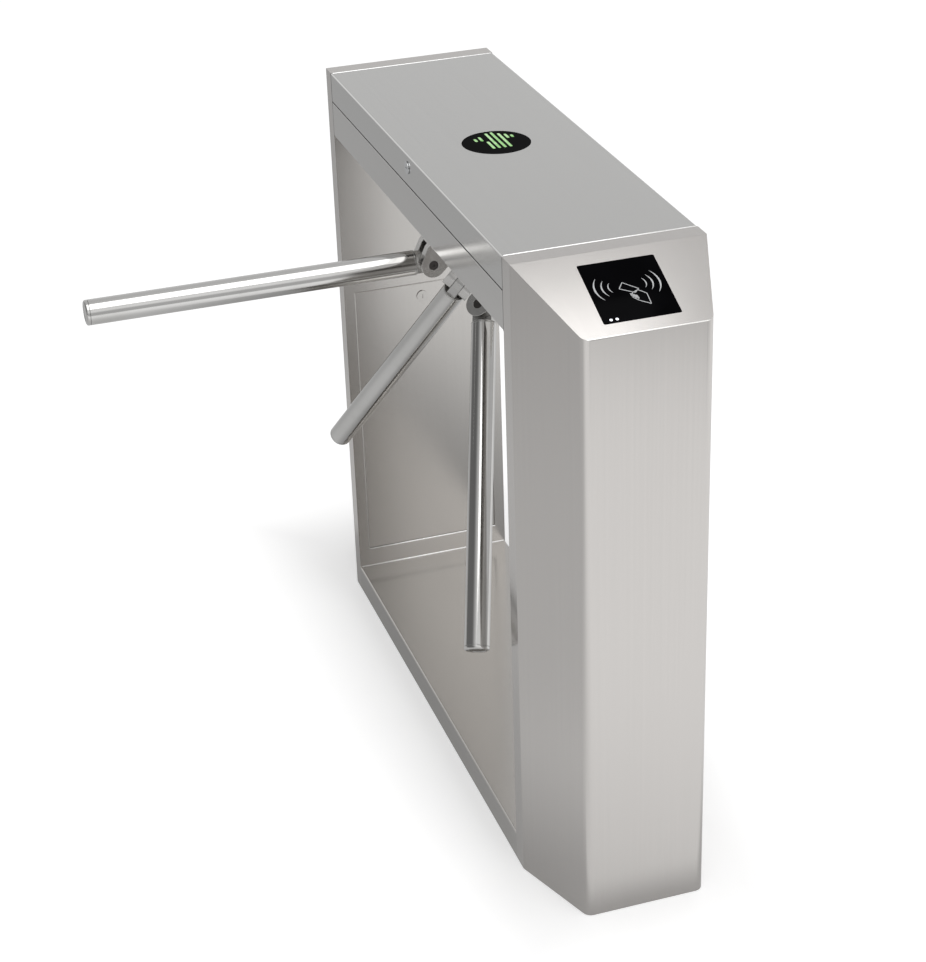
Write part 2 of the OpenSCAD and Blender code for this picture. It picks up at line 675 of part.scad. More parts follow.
// Pawls: two-armed levers, drawn locked and then turned back to free
tooth_x = index_d / 2 - tooth_in;
tip_gap = 2.5;
pawl_x = index_d / 2 - tooth_in / 2;
pawl_y = 48;
pawl_w = 12;
pawl_knee = pawl_y / 2;
pawl_boss_r = 9;
tail_y = 34;
tail_w = 10;
pivot_r = 4;
link_r = 2;
link_gap = 0.35;
module pawl() at_head() translate([pawl_x, pawl_y, -index_back]) rotate([0, 0, pawl_swing]) difference() {
  union() {
    linear_extrude(index_t) translate([-pawl_x, -pawl_y]) polygon([
      [tooth_x, -tooth_w / 2], [index_d / 2 + tip_gap + pawl_w, -tooth_w / 2], [index_d / 2 + tip_gap + pawl_w, pawl_knee],
      [pawl_x + pawl_boss_r, pawl_y], [pawl_x - pawl_boss_r, pawl_y], [index_d / 2 + tip_gap, pawl_knee],
      [index_d / 2 + tip_gap, tooth_w / 2], [tooth_x, tooth_w / 2]
    ]);
    cylinder(r = pawl_boss_r, h = index_t);
    block([-tail_w / 2, 0, 0], [tail_w / 2, tail_y + 3 * link_r, index_t]);
  }
  translate([0, 0, -cut]) cylinder(r = pivot_r + run_fit, h = index_t + 2 * cut);
  block([-link_r - link_gap, tail_y - 2 * link_r, -cut], [link_r + link_gap, tail_y + 2 * link_r, index_t + cut]);
}
module near_pawl() color(dark_steel) pawl();
module far_pawl() color(dark_steel) mirror([1, 0, 0]) pawl();
pivot_collar_r = 7;
pivot_head_t = 1.5;
module pawl_pins() color(bright) both_ends() at_head() translate([pawl_x, pawl_y, 0]) {
  translate([0, 0, -index_back - 2 * seat]) cylinder(r = pivot_r, h = index_back + 2 * seat - rear_back);
  translate([0, 0, -index_low + seat]) cylinder(r = pivot_collar_r, h = index_low - seat - rear_back);
  translate([0, 0, -index_back - seat - pivot_head_t]) cylinder(r = pivot_collar_r, h = pivot_head_t);
}

// Solenoids flat on the rear plate, and plungers: each cross pin sits in the slot of its pawl
sol_l = 40;
sol_gap = 22;
sol_x = pawl_x + sol_gap;
rod_in = 30;
tail_x = pawl_x - tail_y * sin(pawl_swing);
link_y = pawl_y + tail_y * cos(pawl_swing);
module at_plunger() at_head() translate([0, link_y, -rear_back - sol_w / 2]) children();
module solenoid() at_plunger() difference() {
  block([sol_x, -sol_w / 2, -sol_w / 2], [sol_x + sol_l, sol_w / 2, sol_w / 2]);
  translate([sol_x - cut, 0, 0]) rotate([0, 90, 0]) cylinder(r = rod_r + run_fit, h = sol_l + 2 * cut);
}
module solenoids() color(copper) both_ends() solenoid();
module plunger() at_plunger() {
  translate([tail_x - tail_w / 2, 0, 0]) rotate([0, 90, 0]) cylinder(r = rod_r, h = sol_x + rod_in - tail_x + tail_w / 2);
  translate([tail_x, 0, -rod_r - seat - index_t]) cylinder(r = link_r, h = rod_r + seat + index_t);
}
module near_plunger() color(bright) plunger();
module far_plunger() color(bright) mirror([1, 0, 0]) plunger();

// Position sensors: screwed through the rear plate, facing the notches of the index disc
sensor_gap = 1.5;
module position_sensors() color(brass) at_head() for (s = [-1, 1]) rotate([0, 0, -90 + s * sensor_turn])
  translate([sensor_at, 0, -index_low + sensor_gap]) {
    cylinder(r = sensor_r, h = sensor_l);
    translate([0, 0, index_low - sensor_gap - rear_low]) cylinder(r = sensor_r * 1.5, h = sensor_r / 2, $fn = 6);
  }

// Hub: a thick disc with three slotted ears
disc_r = 60;
hub_t = 28;
hub_top = hub_low + hub_t;
ear_out_angle = 20;
ear_heel = 26;
ear_step = 1.5;
ear_out = pin_r + ear_heel;
tongue_r = 16;
floor_gap = 2.5;
ear_floor = pin_h - tongue_r - floor_gap;
screw_sink = 4.5;
screw_head_r = 7.4;
ear_out_top = pin_h + ear_r * sin(ear_out_angle) - (ear_out - pin_r - ear_r * cos(ear_out_angle)) / tan(ear_out_angle);
module ear_side() {
  polygon([
    [pin_r - ear_r, hub_low + ear_step], [ear_out, hub_low + ear_step], [ear_out, ear_out_top],
    [pin_r, pin_h] + polar(ear_r, ear_out_angle), [pin_r - ear_r, pin_h]
  ]);
  translate([pin_r, pin_h]) circle(ear_r);
}
module hub() color(dark_steel) at_head() difference() {
  union() {
    translate([0, 0, hub_low]) cylinder(r = disc_r, h = hub_t);
    for (turn = [0, near_turn, far_turn]) rotate([0, 0, turn]) rotate([90, 0, 90])
      linear_extrude(ear_w, center = true) ear_side();
  }
  for (turn = [0, near_turn, far_turn]) rotate([0, 0, turn]) {
    block([-ear_slot / 2, pin_r - ear_r - cut, ear_floor], [ear_slot / 2, ear_out + cut, pin_h + 2 * ear_r]);
    translate([-ear_w, pin_r, pin_h]) rotate([0, 90, 0]) cylinder(d = pin_d, h = 2 * ear_w);
    for (s = [-1, 1]) translate([s * (ear_w / 2 - screw_sink), pin_r, pin_h]) rotate([0, s * 90, 0])
      cylinder(r = screw_head_r, h = screw_sink + cut);
  }
}
hub_cap_r = 26;
hub_cap_h = 12;
cap_round = 5;
module hub_cap() color(steel) at_head() translate([0, 0, hub_top]) rotate_extrude() {
  square([hub_cap_r, hub_cap_h - cap_round]);
  square([hub_cap_r - cap_round, hub_cap_h]);
  translate([hub_cap_r - cap_round, hub_cap_h - cap_round]) intersection() {
    circle(cap_round);
    square(cap_round);
  }
}
hub_screw_r = 6.5;
hub_screw_h = 6;
hub_screw_at = 44;
module hub_screws() color(zinc) at_head() for (turn = [60 : 120 : 300]) rotate([0, 0, turn])
  translate([0, hub_screw_at, hub_top]) difference() {
    cylinder(r = hub_screw_r, h = hub_screw_h);
    translate([0, 0, hub_screw_h / 2]) cylinder(r = hub_screw_r / 2, h = hub_screw_h, $fn = 6);
  }

// Arm pivot pins: screws sunk in the ears, a nut on the far side
pin_head_gap = 0.4;
module pivot_pins() color(black) at_head() for (turn = [0, near_turn, far_turn])
  rotate([0, 0, turn]) translate([0, pin_r, pin_h]) rotate([0, 90, 0]) difference() {
    union() {
      translate([0, 0, screw_sink - ear_w / 2]) cylinder(d = pin_d, h = ear_w - 2 * screw_sink);
      for (s = [-1, 1]) translate([0, 0, s * (ear_w / 2 - screw_sink / 2 - pin_head_gap / 2)])
        cylinder(r = screw_head_r - pin_head_gap, h = screw_sink - pin_head_gap, center = true);
    }
    translate([0, 0, ear_w / 2 - screw_sink / 2]) cylinder(r = pin_d / 4, h = ear_w, $fn = 6);
  }

// Arm tube, root with its tongue, and end cap
plug_l = 26;
tongue_gap = 0.3;
shoulder_t = 3;
spigot_l = 14;
cap_edge = 2.5;
tube_in = arm_d / 2 - arm_wall;
module arm_tube(turn) at_arm(turn) translate([0, 0, arm_root + shoulder_t])
  ring(arm_d / 2, tube_in, arm_l - cap_l - arm_root - shoulder_t);
module arm_root_piece(turn) at_arm(turn) difference() {
  union() {
    translate([0, 0, arm_root]) cylinder(d = arm_d, h = shoulder_t);
    translate([0, 0, arm_root + shoulder_t]) cylinder(r = tube_in, h = plug_l);
    intersection() {
      rotate([0, 90, 0]) cylinder(r = arm_d / 2 + arm_root, h = ear_slot - 2 * tongue_gap, center = true);
      block([-ear_slot, -tongue_r, 0], [ear_slot, tongue_r, arm_root]);
    }
    rotate([0, 90, 0]) cylinder(r = tongue_r, h = ear_slot - 2 * tongue_gap, center = true);
  }
  rotate([0, 90, 0]) cylinder(r = pin_d / 2 + run_fit, h = 2 * ear_w, center = true);
}
module arm_cap(turn) at_arm(turn) translate([0, 0, arm_l - cap_l]) rotate_extrude() {
  translate([0, -spigot_l]) square([tube_in, spigot_l]);
  square([arm_d / 2, cap_l - cap_edge]);
  square([arm_d / 2 - cap_edge, cap_l]);
  translate([arm_d / 2 - cap_edge, cap_l - cap_edge]) intersection() {
    circle(cap_edge);
    square(cap_edge);
  }
}
module blocking_arm() color(bright) arm_tube(0);
module near_arm() color(bright) arm_tube(near_turn);
module far_arm() color(bright) arm_tube(far_turn);
module blocking_arm_root() color(dark_steel) arm_root_piece(0);
module near_arm_root() color(dark_steel) arm_root_piece(near_turn);
module far_arm_root() color(dark_steel) arm_root_piece(far_turn);
module blocking_arm_cap() color(bright) arm_cap(0);
module near_arm_cap() color(bright) arm_cap(near_turn);
module far_arm_cap() color(bright) arm_cap(far_turn);

// Equipment plates: upright sheets on the foot plates, one in each leg
equip_inset = 45;
equip_x = half_l - equip_inset;
equip_w = 110;
equip_h = 620;
equip_foot = 30;
module equipment_plates() color(zinc) both_ends() {
  block([equip_x - sheet_t, -equip_w / 2, foot_t], [equip_x, equip_w / 2, foot_t + equip_h]);
  block([equip_x, -equip_w / 2, foot_t], [equip_x + equip_foot, equip_w / 2, foot_t + sheet_t]);
}

// Power supply on the near equipment plate
supply_z = 360;
supply_h = 160;
supply_w = 100;
supply_d = 45;
supply_terminals = 12;
module power_supply() color(zinc) translate([equip_x - sheet_t, 0, supply_z]) {
  block([-supply_d, -supply_w / 2, 0], [0, supply_w / 2, supply_h]);
  block([-supply_d - supply_terminals, -supply_w / 2, 0], [-supply_d, supply_w / 2, supply_terminals]);
}

// Control board in the beam, on four posts
board_l = 150;
board_gap = 20;
board_x = open_x - board_gap - board_l;
board_w = 110;
board_t = 1.6;
board_post = 8;
board_post_r = 3;
board_chip_h = 12;
module control_board() color(green_board) translate([board_x + board_l / 2, 0, beam_z + sheet_t]) {
  for (sx = [-1, 1], sy = [-1, 1])
    translate([sx * (board_l / 2 - 2 * board_post_r), sy * (board_w / 2 - 2 * board_post_r), 0])
      cylinder(r = board_post_r, h = board_post);
  block([-board_l / 2, -board_w / 2, board_post], [board_l / 2, board_w / 2, board_post + board_t]);
  block([board_l / 4, -board_w / 3, board_post + board_t], [board_l / 3, board_w / 3, board_post + board_t + board_chip_h]);
  block([-board_l / 3, -board_w / 4, board_post + board_t], [-board_l / 6, board_w / 4, board_post + board_t + board_chip_h]);
}

// Main loom: up from the power supply, through the panel's cable way, along to the board
loom_r = 5;
loom_bend = 25;
loom_x = equip_x - sheet_t - supply_d / 2;
loom_y = cable_way_w / 2 - 2 * loom_r;
loom_z = beam_z + sheet_t + board_post + board_t + loom_r + seat;
loom_end = board_x + board_l / 2 + board_l / 3;
module main_loom() color(black) translate([0, loom_y, 0]) {
  translate([loom_x, 0, supply_z + supply_h]) cylinder(r = loom_r, h = loom_z - loom_bend - supply_z - supply_h);
  translate([loom_x - loom_bend, 0, loom_z - loom_bend]) rotate([90, 0, 0]) rotate_extrude(angle = 90)
    translate([loom_bend, 0]) circle(loom_r);
  translate([loom_end, 0, loom_z]) rotate([0, 90, 0]) cylinder(r = loom_r, h = loom_x - loom_bend - loom_end);
}

base_tray();
near_leg_shell();
far_leg_shell();
leg_panels();
foot_plates();
near_leg_door();
far_leg_door();
near_door_lock();
far_door_lock();
beam_tray();
lid_gasket();
lid();
lid_lock();
lock_keeper();
lid_hinge_leaves();
beam_hinge_leaves();
hinge_pins();
indicator_window();
indicator_board();
reader_windows();
reader_modules();
mechanism_cowl();
cowl_screws();
front_plate();
rear_plate();
side_plates();
frame_hangers();
bearing_housing();
shaft_bearings();
main_shaft();
shaft_nut();
hub();
hub_cap();
hub_screws();
pivot_pins();
blocking_arm();
near_arm();
far_arm();
blocking_arm_root();
near_arm_root();
far_arm_root();
blocking_arm_cap();
near_arm_cap();
far_arm_cap();
index_disc();
damper_gear();
damper();
damper_pinion();
near_pawl();
far_pawl();
pawl_pins();
solenoids();
near_plunger();
far_plunger();
position_sensors();
power_supply();
control_board();
equipment_plates();
main_loom();
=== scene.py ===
import math

import bmesh
import bpy
from mathutils import Matrix, Vector


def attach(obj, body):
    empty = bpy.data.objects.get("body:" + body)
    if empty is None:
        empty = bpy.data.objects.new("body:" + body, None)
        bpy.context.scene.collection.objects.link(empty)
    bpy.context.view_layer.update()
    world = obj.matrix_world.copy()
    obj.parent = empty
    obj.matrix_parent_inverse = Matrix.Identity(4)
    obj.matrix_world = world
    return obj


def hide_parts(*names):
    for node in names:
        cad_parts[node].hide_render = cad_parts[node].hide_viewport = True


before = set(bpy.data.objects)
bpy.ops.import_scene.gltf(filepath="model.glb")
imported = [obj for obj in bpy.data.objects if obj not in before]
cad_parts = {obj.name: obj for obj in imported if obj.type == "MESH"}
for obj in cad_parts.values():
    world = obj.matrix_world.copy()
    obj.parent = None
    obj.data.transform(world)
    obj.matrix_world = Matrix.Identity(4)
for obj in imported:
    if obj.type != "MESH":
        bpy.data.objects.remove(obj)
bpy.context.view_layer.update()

# Camera
# It stands above the near leg and looks down along the cabinet, as the photograph does.
azimuth, elevation, roll = (math.radians(a) for a in (162.78, -27.746, -2.051))
camera_spot = (3.0423, -1.0140, 2.0969)
sensor_width, focal_length = 36, 87.35  # millimetres
forward = Vector((math.cos(elevation) * math.cos(azimuth), math.cos(elevation) * math.sin(azimuth),
                  math.sin(elevation)))
sideways = forward.cross(Vector((0, 0, 1))).normalized()
upward = sideways.cross(forward)
right = math.cos(roll) * sideways + math.sin(roll) * upward
above = math.cos(roll) * upward - math.sin(roll) * sideways
lens = bpy.data.cameras.new("camera")
lens.sensor_fit, lens.sensor_width, lens.lens = "HORIZONTAL", sensor_width, focal_length
camera = bpy.data.objects.new("camera", lens)
camera.matrix_world = Matrix.Translation(camera_spot) @ Matrix((right, above, -forward)).transposed().to_4x4()
bpy.context.scene.collection.objects.link(camera)
bpy.context.scene.camera = camera
bpy.context.scene.view_settings.view_transform = "Standard"


# Floor
# A pale sheet that only carries the turnstile and takes its soft shadow.
# The camera and the metal both see it near white, brighter on the window side by a painted pool of light in its glow,
# and darker beside the feet by painted shade.
def add(tree, kind, **settings):
    """A new node with its plain settings."""
    made = tree.nodes.new(kind)
    for name, value in settings.items():
        setattr(made, name, value)
    return made


def join(tree, *sockets):
    """Links sockets in pairs, each source followed by its target."""
    for source, target in zip(sockets[::2], sockets[1::2]):
        tree.links.new(source, target)


def feed(tree, socket, value):
    """Gives a socket a plain value, or links what another node puts out."""
    if isinstance(value, bpy.types.NodeSocket):
        join(tree, value, socket)
    else:
        socket.default_value = value


def maths(tree, operation, *terms):
    """One sum on numbers and sockets."""
    made = add(tree, "ShaderNodeMath", operation=operation)
    for socket, term in zip(made.inputs, terms):
        feed(tree, socket, term)
    return made.outputs[0]


def stretch(tree, value, low, high, to_low=0.0, to_high=1.0, step="LINEAR"):
    """Maps a value from one range to another."""
    made = add(tree, "ShaderNodeMapRange", interpolation_type=step)
    for socket, term in zip(("Value", "From Min", "From Max", "To Min", "To Max"), (value, low, high, to_low, to_high)):
        feed(tree, made.inputs[socket], term)
    return made.outputs["Result"]


def span(tree, value, *ends):
    """A soft step from one level to another."""
    return stretch(tree, value, *ends, step="SMOOTHSTEP")


def mixed(tree, share, first, second):
    """A share of the second shader over the first."""
    made = add(tree, "ShaderNodeMixShader")
    feed(tree, made.inputs[0], share)
    join(tree, first, made.inputs[1], second, made.inputs[2])
    return made.outputs[0]


floor_half, floor_drop = 7, 0.0003
floor_tone, paper_tone = 0.86, 0.98
floor_camera_share, floor_gloss_share = 0.14, 0.62
foot_half_x, foot_half_y = 0.60, 0.14
# Painted shade beside the feet: the glow that the metal sees is dimmed there, and the white that the camera sees is
# lower there, a painted shadow.
foot_shade, shade_reach, end_factor = 0.50, 0.34, 4.0  # the reflected floor beside the feet, tighter at the ends
foot_white, far_white, white_reach = 2.6, 3.85, 0.20  # what the camera sees beside the feet and beyond
window_side = (0.82, 0.57, 0)

paint = bpy.data.materials.new("floor_pale")
paint.use_nodes = True
tree = paint.node_tree
tree.nodes.clear()
rays = add(tree, "ShaderNodeLightPath")
matt, paper = add(tree, "ShaderNodeBsdfDiffuse"), add(tree, "ShaderNodeBsdfDiffuse")
matt.inputs["Color"].default_value = (floor_tone, floor_tone, floor_tone, 1)
paper.inputs["Color"].default_value = (paper_tone, paper_tone, paper_tone, 1)
white, seen = add(tree, "ShaderNodeEmission"), add(tree, "ShaderNodeEmission")
place = add(tree, "ShaderNodeTexCoord")
side = add(tree, "ShaderNodeVectorMath", operation="DOT_PRODUCT")
side.inputs[1].default_value = window_side
split = add(tree, "ShaderNodeSeparateXYZ")
join(tree, place.outputs["Object"], side.inputs[0], place.outputs["Object"], split.inputs[0])
towards = side.outputs["Value"]
# Painted light: the glow that the metal sees is brighter on the window side.
painted_window_light = maths(tree, "ADD", span(tree, towards, -2.4, -0.6, 0.42, 0.60), span(tree, towards, -0.3, 1.2, 0.0, 0.62))
painted_window_light = maths(tree, "MULTIPLY", painted_window_light, span(tree, towards, 2.2, 2.9, 1.0, 0.42))
away_x, away_y = (maths(tree, "SUBTRACT", maths(tree, "ABSOLUTE", split.outputs[axis]), foot)
                  for axis, foot in (("X", foot_half_x), ("Y", foot_half_y)))
# Painted shade: the glow is dimmed beside the feet, tighter at the ends.
painted_foot_shade = span(tree, maths(tree, "MAXIMUM", maths(tree, "MULTIPLY", away_x, end_factor), away_y),
             0.0, shade_reach, foot_shade, 1.0)
# Painted shadow: the white that the camera sees is lower beside the feet.
painted_foot_shadow = span(tree, maths(tree, "MAXIMUM", away_x, away_y), 0.0, white_reach, foot_white, far_white)
by_gloss = mixed(tree, floor_gloss_share, matt.outputs[0], seen.outputs[0])
by_camera = mixed(tree, floor_camera_share, paper.outputs[0], white.outputs[0])
mirrored = maths(tree, "MAXIMUM", rays.outputs["Is Glossy Ray"], rays.outputs["Is Transmission Ray"])
unseen = mixed(tree, mirrored, matt.outputs[0], by_gloss)
out = add(tree, "ShaderNodeOutputMaterial")
join(tree, maths(tree, "MULTIPLY", painted_window_light, painted_foot_shade), seen.inputs["Strength"], painted_foot_shadow, white.inputs["Strength"],
     mixed(tree, rays.outputs["Is Camera Ray"], unseen, by_camera), out.inputs["Surface"])

shape = bmesh.new()
bmesh.ops.create_grid(shape, x_segments=4, y_segments=4, size=floor_half,
                      matrix=Matrix.Translation((0, 0, -floor_drop)))
ground = bpy.data.meshes.new("floor")
shape.to_mesh(ground)
shape.free()
ground.materials.append(paint)
floor = bpy.data.objects.new("floor", ground)
bpy.context.scene.collection.objects.link(floor)

# Studio light
# An even pale room, brighter on the window side, with dark screens low behind the camera and on
# both long sides that give the polished tubes their dark lines. One large soft panel hangs above.
sky_low, sky_side, sky_top = 1.12, 0.26, 0.84
world = bpy.data.worlds.new("studio")
bpy.context.scene.world = world
world.use_nodes = True
tree = world.node_tree
tree.nodes.clear()

place = add(tree, "ShaderNodeTexCoord")
split = add(tree, "ShaderNodeSeparateXYZ")
side = add(tree, "ShaderNodeVectorMath", operation="DOT_PRODUCT")
side.inputs[1].default_value = window_side
rays = add(tree, "ShaderNodeLightPath")
room, backdrop = add(tree, "ShaderNodeBackground"), add(tree, "ShaderNodeBackground")
backdrop.inputs["Color"].default_value = (1, 1, 1, 1)
out = add(tree, "ShaderNodeOutputWorld")
join(tree, place.outputs["Generated"], split.inputs[0], place.outputs["Generated"], side.inputs[0])
height = split.outputs["Z"]
sky = maths(tree, "ADD", span(tree, height, -0.1, 1.0, sky_low, sky_top),
            maths(tree, "MULTIPLY", side.outputs["Value"], sky_side))
screens = 0.0
for axis, start, end, dark_at_start, dark_at_end, fade_from, fade_to in (
    ("Y", -0.80, -0.25, 0.76, 0.0, 0.60, 0.95),
    ("X", 0.50, 0.90, 0.0, 0.50, 0.12, 0.40),
    ("Y", 0.35, 0.85, 0.0, 0.45, 0.60, 0.95),
):
    screen = maths(tree, "MULTIPLY", span(tree, split.outputs[axis], start, end, dark_at_start, dark_at_end),
                   span(tree, height, fade_from, fade_to, 1.0, 0.0))
    screens = maths(tree, "MAXIMUM", screen, screens)
join(tree, maths(tree, "MULTIPLY", sky, maths(tree, "SUBTRACT", 1.0, screens)), room.inputs["Strength"],
     mixed(tree, rays.outputs["Is Camera Ray"], room.outputs[0], backdrop.outputs[0]), out.inputs["Surface"])
for name, watts, wide, deep, spot, aim in (
    ("overhead_panel", 22, 2.4, 1.98, (1.04, -0.15, 3.0), (1.04, -0.15, 0)),
    ("window_panel", 4, 1.6, 1.6, (2.9, 1.7, 1.9), (0.3, 0, 0.6)),
):
    lamp = bpy.data.lights.new(name, "AREA")
    lamp.shape, lamp.size, lamp.size_y, lamp.energy = "RECTANGLE", wide, deep, watts
    panel = bpy.data.objects.new(name, lamp)
    panel.location = spot
    panel.rotation_euler = (Vector(aim) - Vector(spot)).to_track_quat("-Z", "Y").to_euler()
    bpy.context.scene.collection.objects.link(panel)


# Base channel
# One folded channel of satin stainless sheet that joins both legs at the floor.
# Its bends are rolled, so the long upper edges catch the light, and a painted highlight pales them.
def effect(name, inputs, outputs):
    """A node group with named sockets, and its two ends."""
    made = bpy.data.node_groups.new(name, "ShaderNodeTree")
    for direction, sockets in (("INPUT", inputs), ("OUTPUT", outputs)):
        for title, kind in sockets.items():
            made.interface.new_socket(title, in_out=direction, socket_type=f"NodeSocket{kind}")
    return made, add(made, "NodeGroupInput"), add(made, "NodeGroupOutput")


def noise(tree, vector, scale, detail=2.0, roughness=0.55):
    """Soft noise at one scale."""
    made = add(tree, "ShaderNodeTexNoise")
    for socket, value in (("Vector", vector), ("Scale", scale), ("Detail", detail), ("Roughness", roughness)):
        feed(tree, made.inputs[socket], value)
    return made.outputs["Fac"]


def scaled(tree, vector, by):
    """A vector times another."""
    made = add(tree, "ShaderNodeVectorMath", operation="MULTIPLY")
    feed(tree, made.inputs[0], vector)
    feed(tree, made.inputs[1], by)
    return made.outputs[0]


# Long fine scratches of a belt finish. They follow one direction on upright faces and another on flat ones.
flat_from, broad_scale, fine_share = 0.35, 0.11, 0.4
hairline, given, result = effect("hairline", {"Upright": "Vector", "Flat": "Vector"},
                                 {"Height": "Float", "Tone": "Float"})
place = add(hairline, "ShaderNodeTexCoord")
facing = add(hairline, "ShaderNodeSeparateXYZ")
lines = add(hairline, "ShaderNodeMix", data_type="VECTOR")
flat_face = maths(hairline, "GREATER_THAN", maths(hairline, "ABSOLUTE", facing.outputs["Z"]), flat_from)
join(hairline, place.outputs["Normal"], facing.inputs[0], flat_face, lines.inputs["Factor"],
     given.outputs["Upright"], lines.inputs[4], given.outputs["Flat"], lines.inputs[5])
drawn = scaled(hairline, place.outputs["Object"], lines.outputs[1])
fine = noise(hairline, drawn, 1.0)
broad = noise(hairline, scaled(hairline, drawn, (broad_scale, broad_scale, broad_scale)), 1.0, 3.0, 0.6)
both = maths(hairline, "ADD", maths(hairline, "MULTIPLY", fine, fine_share),
             maths(hairline, "MULTIPLY", broad, 1 - fine_share))
join(hairline, fine, result.inputs["Height"], stretch(hairline, both, 0.3, 0.7), result.inputs["Tone"])

# A painted highlight on level bends and cut edges: the colour turns paler where their normals lie
# between the main directions. Bends that stand upright keep the plain finish.
level_from, level_to = 0.02, 0.12
painted_edge_light, given, result = effect("painted_edge_highlight", {"From": "Float", "To": "Float"}, {"Edge": "Float"})
place = add(painted_edge_light, "ShaderNodeTexCoord")
facing = add(painted_edge_light, "ShaderNodeSeparateXYZ")
join(painted_edge_light, place.outputs["Normal"], facing.inputs[0])
across, along, upwards = (maths(painted_edge_light, "ABSOLUTE", facing.outputs[axis]) for axis in "XYZ")
largest = maths(painted_edge_light, "MAXIMUM", upwards, maths(painted_edge_light, "MAXIMUM", across, along))
between = stretch(painted_edge_light, maths(painted_edge_light, "SUBTRACT", 1.0, largest), given.outputs["From"], given.outputs["To"])
join(painted_edge_light, maths(painted_edge_light, "MULTIPLY", between, stretch(painted_edge_light, upwards, level_from, level_to)), result.inputs["Edge"])

# Marks of use: soft hand smudges, and floor dust that thins out upwards.
smudge_scale, dust_scale = 9.0, 45.0
handling, given, result = effect("handling", {"Dust Height": "Float"}, {"Smudge": "Float", "Dust": "Float"})
place = add(handling, "ShaderNodeTexCoord")
split = add(handling, "ShaderNodeSeparateXYZ")
touches = noise(handling, place.outputs["Object"], smudge_scale, 4.0, 0.6)
specks = noise(handling, place.outputs["Object"], dust_scale, 4.0, 0.65)
low_down = stretch(handling, split.outputs["Z"], given.outputs["Dust Height"], 0.0)
join(handling, place.outputs["Object"], split.inputs[0], stretch(handling, touches, 0.46, 0.66), result.inputs["Smudge"],
     maths(handling, "MULTIPLY", low_down, specks), result.inputs["Dust"])


def placed(tree, group, **values):
    """An effect placed in a material with its own values."""
    made = add(tree, "ShaderNodeGroup", node_tree=group)
    for title, value in values.items():
        made.inputs[title.replace("_", " ")].default_value = value
    return made


def blended(tree, share, first, second):
    """A share of the second colour over the first."""
    made = add(tree, "ShaderNodeMix", data_type="RGBA")
    join(tree, share, made.inputs["Factor"])
    for socket, colour in ((made.inputs[6], first), (made.inputs[7], second)):
        feed(tree, socket, (*colour, 1) if isinstance(colour, tuple) else colour)
    return made.outputs[2]


def surface(name, metallic, **settings):
    """A new material, its node tree and its shader."""
    made = bpy.data.materials.new(name)
    made.use_nodes = True
    shader = made.node_tree.nodes["Principled BSDF"]
    shader.inputs["Metallic"].default_value = metallic
    for title, value in settings.items():
        shader.inputs[title.replace("_", " ")].default_value = value
    return made, made.node_tree, shader


def raised(tree, shader, height, depth, strength=1.0):
    """Raises the surface by a height, in metres at its full depth."""
    bump = add(tree, "ShaderNodeBump")
    bump.inputs["Strength"].default_value = strength
    bump.inputs["Distance"].default_value = depth
    join(tree, height, bump.inputs["Height"], bump.outputs[0], shader.inputs["Normal"])


LINE, RUN = 2600, 14  # scratches per metre across the grain and along it
lengthwise = (RUN, LINE, LINE), (RUN, LINE, LINE)  # the grain on upright faces and on flat ones
up_and_over = (LINE, LINE, RUN), (RUN, LINE, RUN)
dust_colour = (0.36, 0.34, 0.31)


def satin_steel(name, colour, roughness, grain, dust=0.1, edge_from=0.10, edge_to=0.20):
    """Brushed stainless sheet with a painted highlight on its bends, hand marks and a little dust low down."""
    made, tree, shader = surface(name, 1.0)
    upright, flat = grain
    scratches = placed(tree, hairline, Upright=upright, Flat=flat)
    marks = placed(tree, handling, Dust_Height=dust)
    edge = placed(tree, painted_edge_light, From=edge_from, To=edge_to)
    tone, smudge, dusty = scratches.outputs["Tone"], marks.outputs["Smudge"], marks.outputs["Dust"]
    # pale is the colour of the painted highlight on the bends.
    dark, pale = tuple(c * 0.965 for c in colour), tuple(min(c * 1.62, 0.97) for c in colour)
    clean = blended(tree, edge.outputs["Edge"], blended(tree, tone, dark, colour), pale)
    rough = roughness + 0.008
    for mark, share in ((tone, -0.016), (smudge, 0.010), (dusty, 0.06)):
        rough = maths(tree, "ADD", rough, maths(tree, "MULTIPLY", mark, share))
    join(tree, blended(tree, maths(tree, "MULTIPLY", dusty, 0.12), clean, dust_colour), shader.inputs["Base Color"],
         rough, shader.inputs["Roughness"])
    raised(tree, shader, scratches.outputs["Height"], 0.000005)
    return made


def settle(bm, name, body, slot, finish, *nodes):
    """Turns a finished bmesh into a piece that rides on its body."""
    mesh = bpy.data.meshes.new(name)
    bm.to_mesh(mesh)
    bm.free()
    mesh.shade_smooth()
    mesh.materials.clear()
    mesh.materials.append(finish)
    piece = bpy.data.objects.new(name, mesh)
    bpy.context.scene.collection.objects.link(piece)
    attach(piece, body)
    if nodes:
        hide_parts(*nodes)
    return piece


def eased(piece, width, segments=2):
    """Breaks every edge of a piece by a small round, and keeps its flat faces flat."""
    cut = piece.modifiers.new("edges", "BEVEL")
    cut.width, cut.segments, cut.limit_method, cut.angle_limit = width, segments, "ANGLE", math.radians(32)
    piece.modifiers.new("faces", "WEIGHTED_NORMAL").weight = 70
    return piece


def drawn_from(node):
    """A clean copy of a CAD node's mesh: its loose triangles merged into whole faces."""
    bm = bmesh.new()
    bm.from_mesh(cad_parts[node].data)
    bmesh.ops.remove_doubles(bm, verts=bm.verts, dist=1e-6)
    bmesh.ops.dissolve_limit(bm, angle_limit=math.radians(0.5), verts=bm.verts, edges=bm.edges)
    return bm


def dressed(node, name, body, slot, finish, edge, segments=2):
    """A CAD node drawn again as a piece, with its finish and its edges eased."""
    return eased(settle(drawn_from(node), name, body, slot, finish, node), edge, segments)


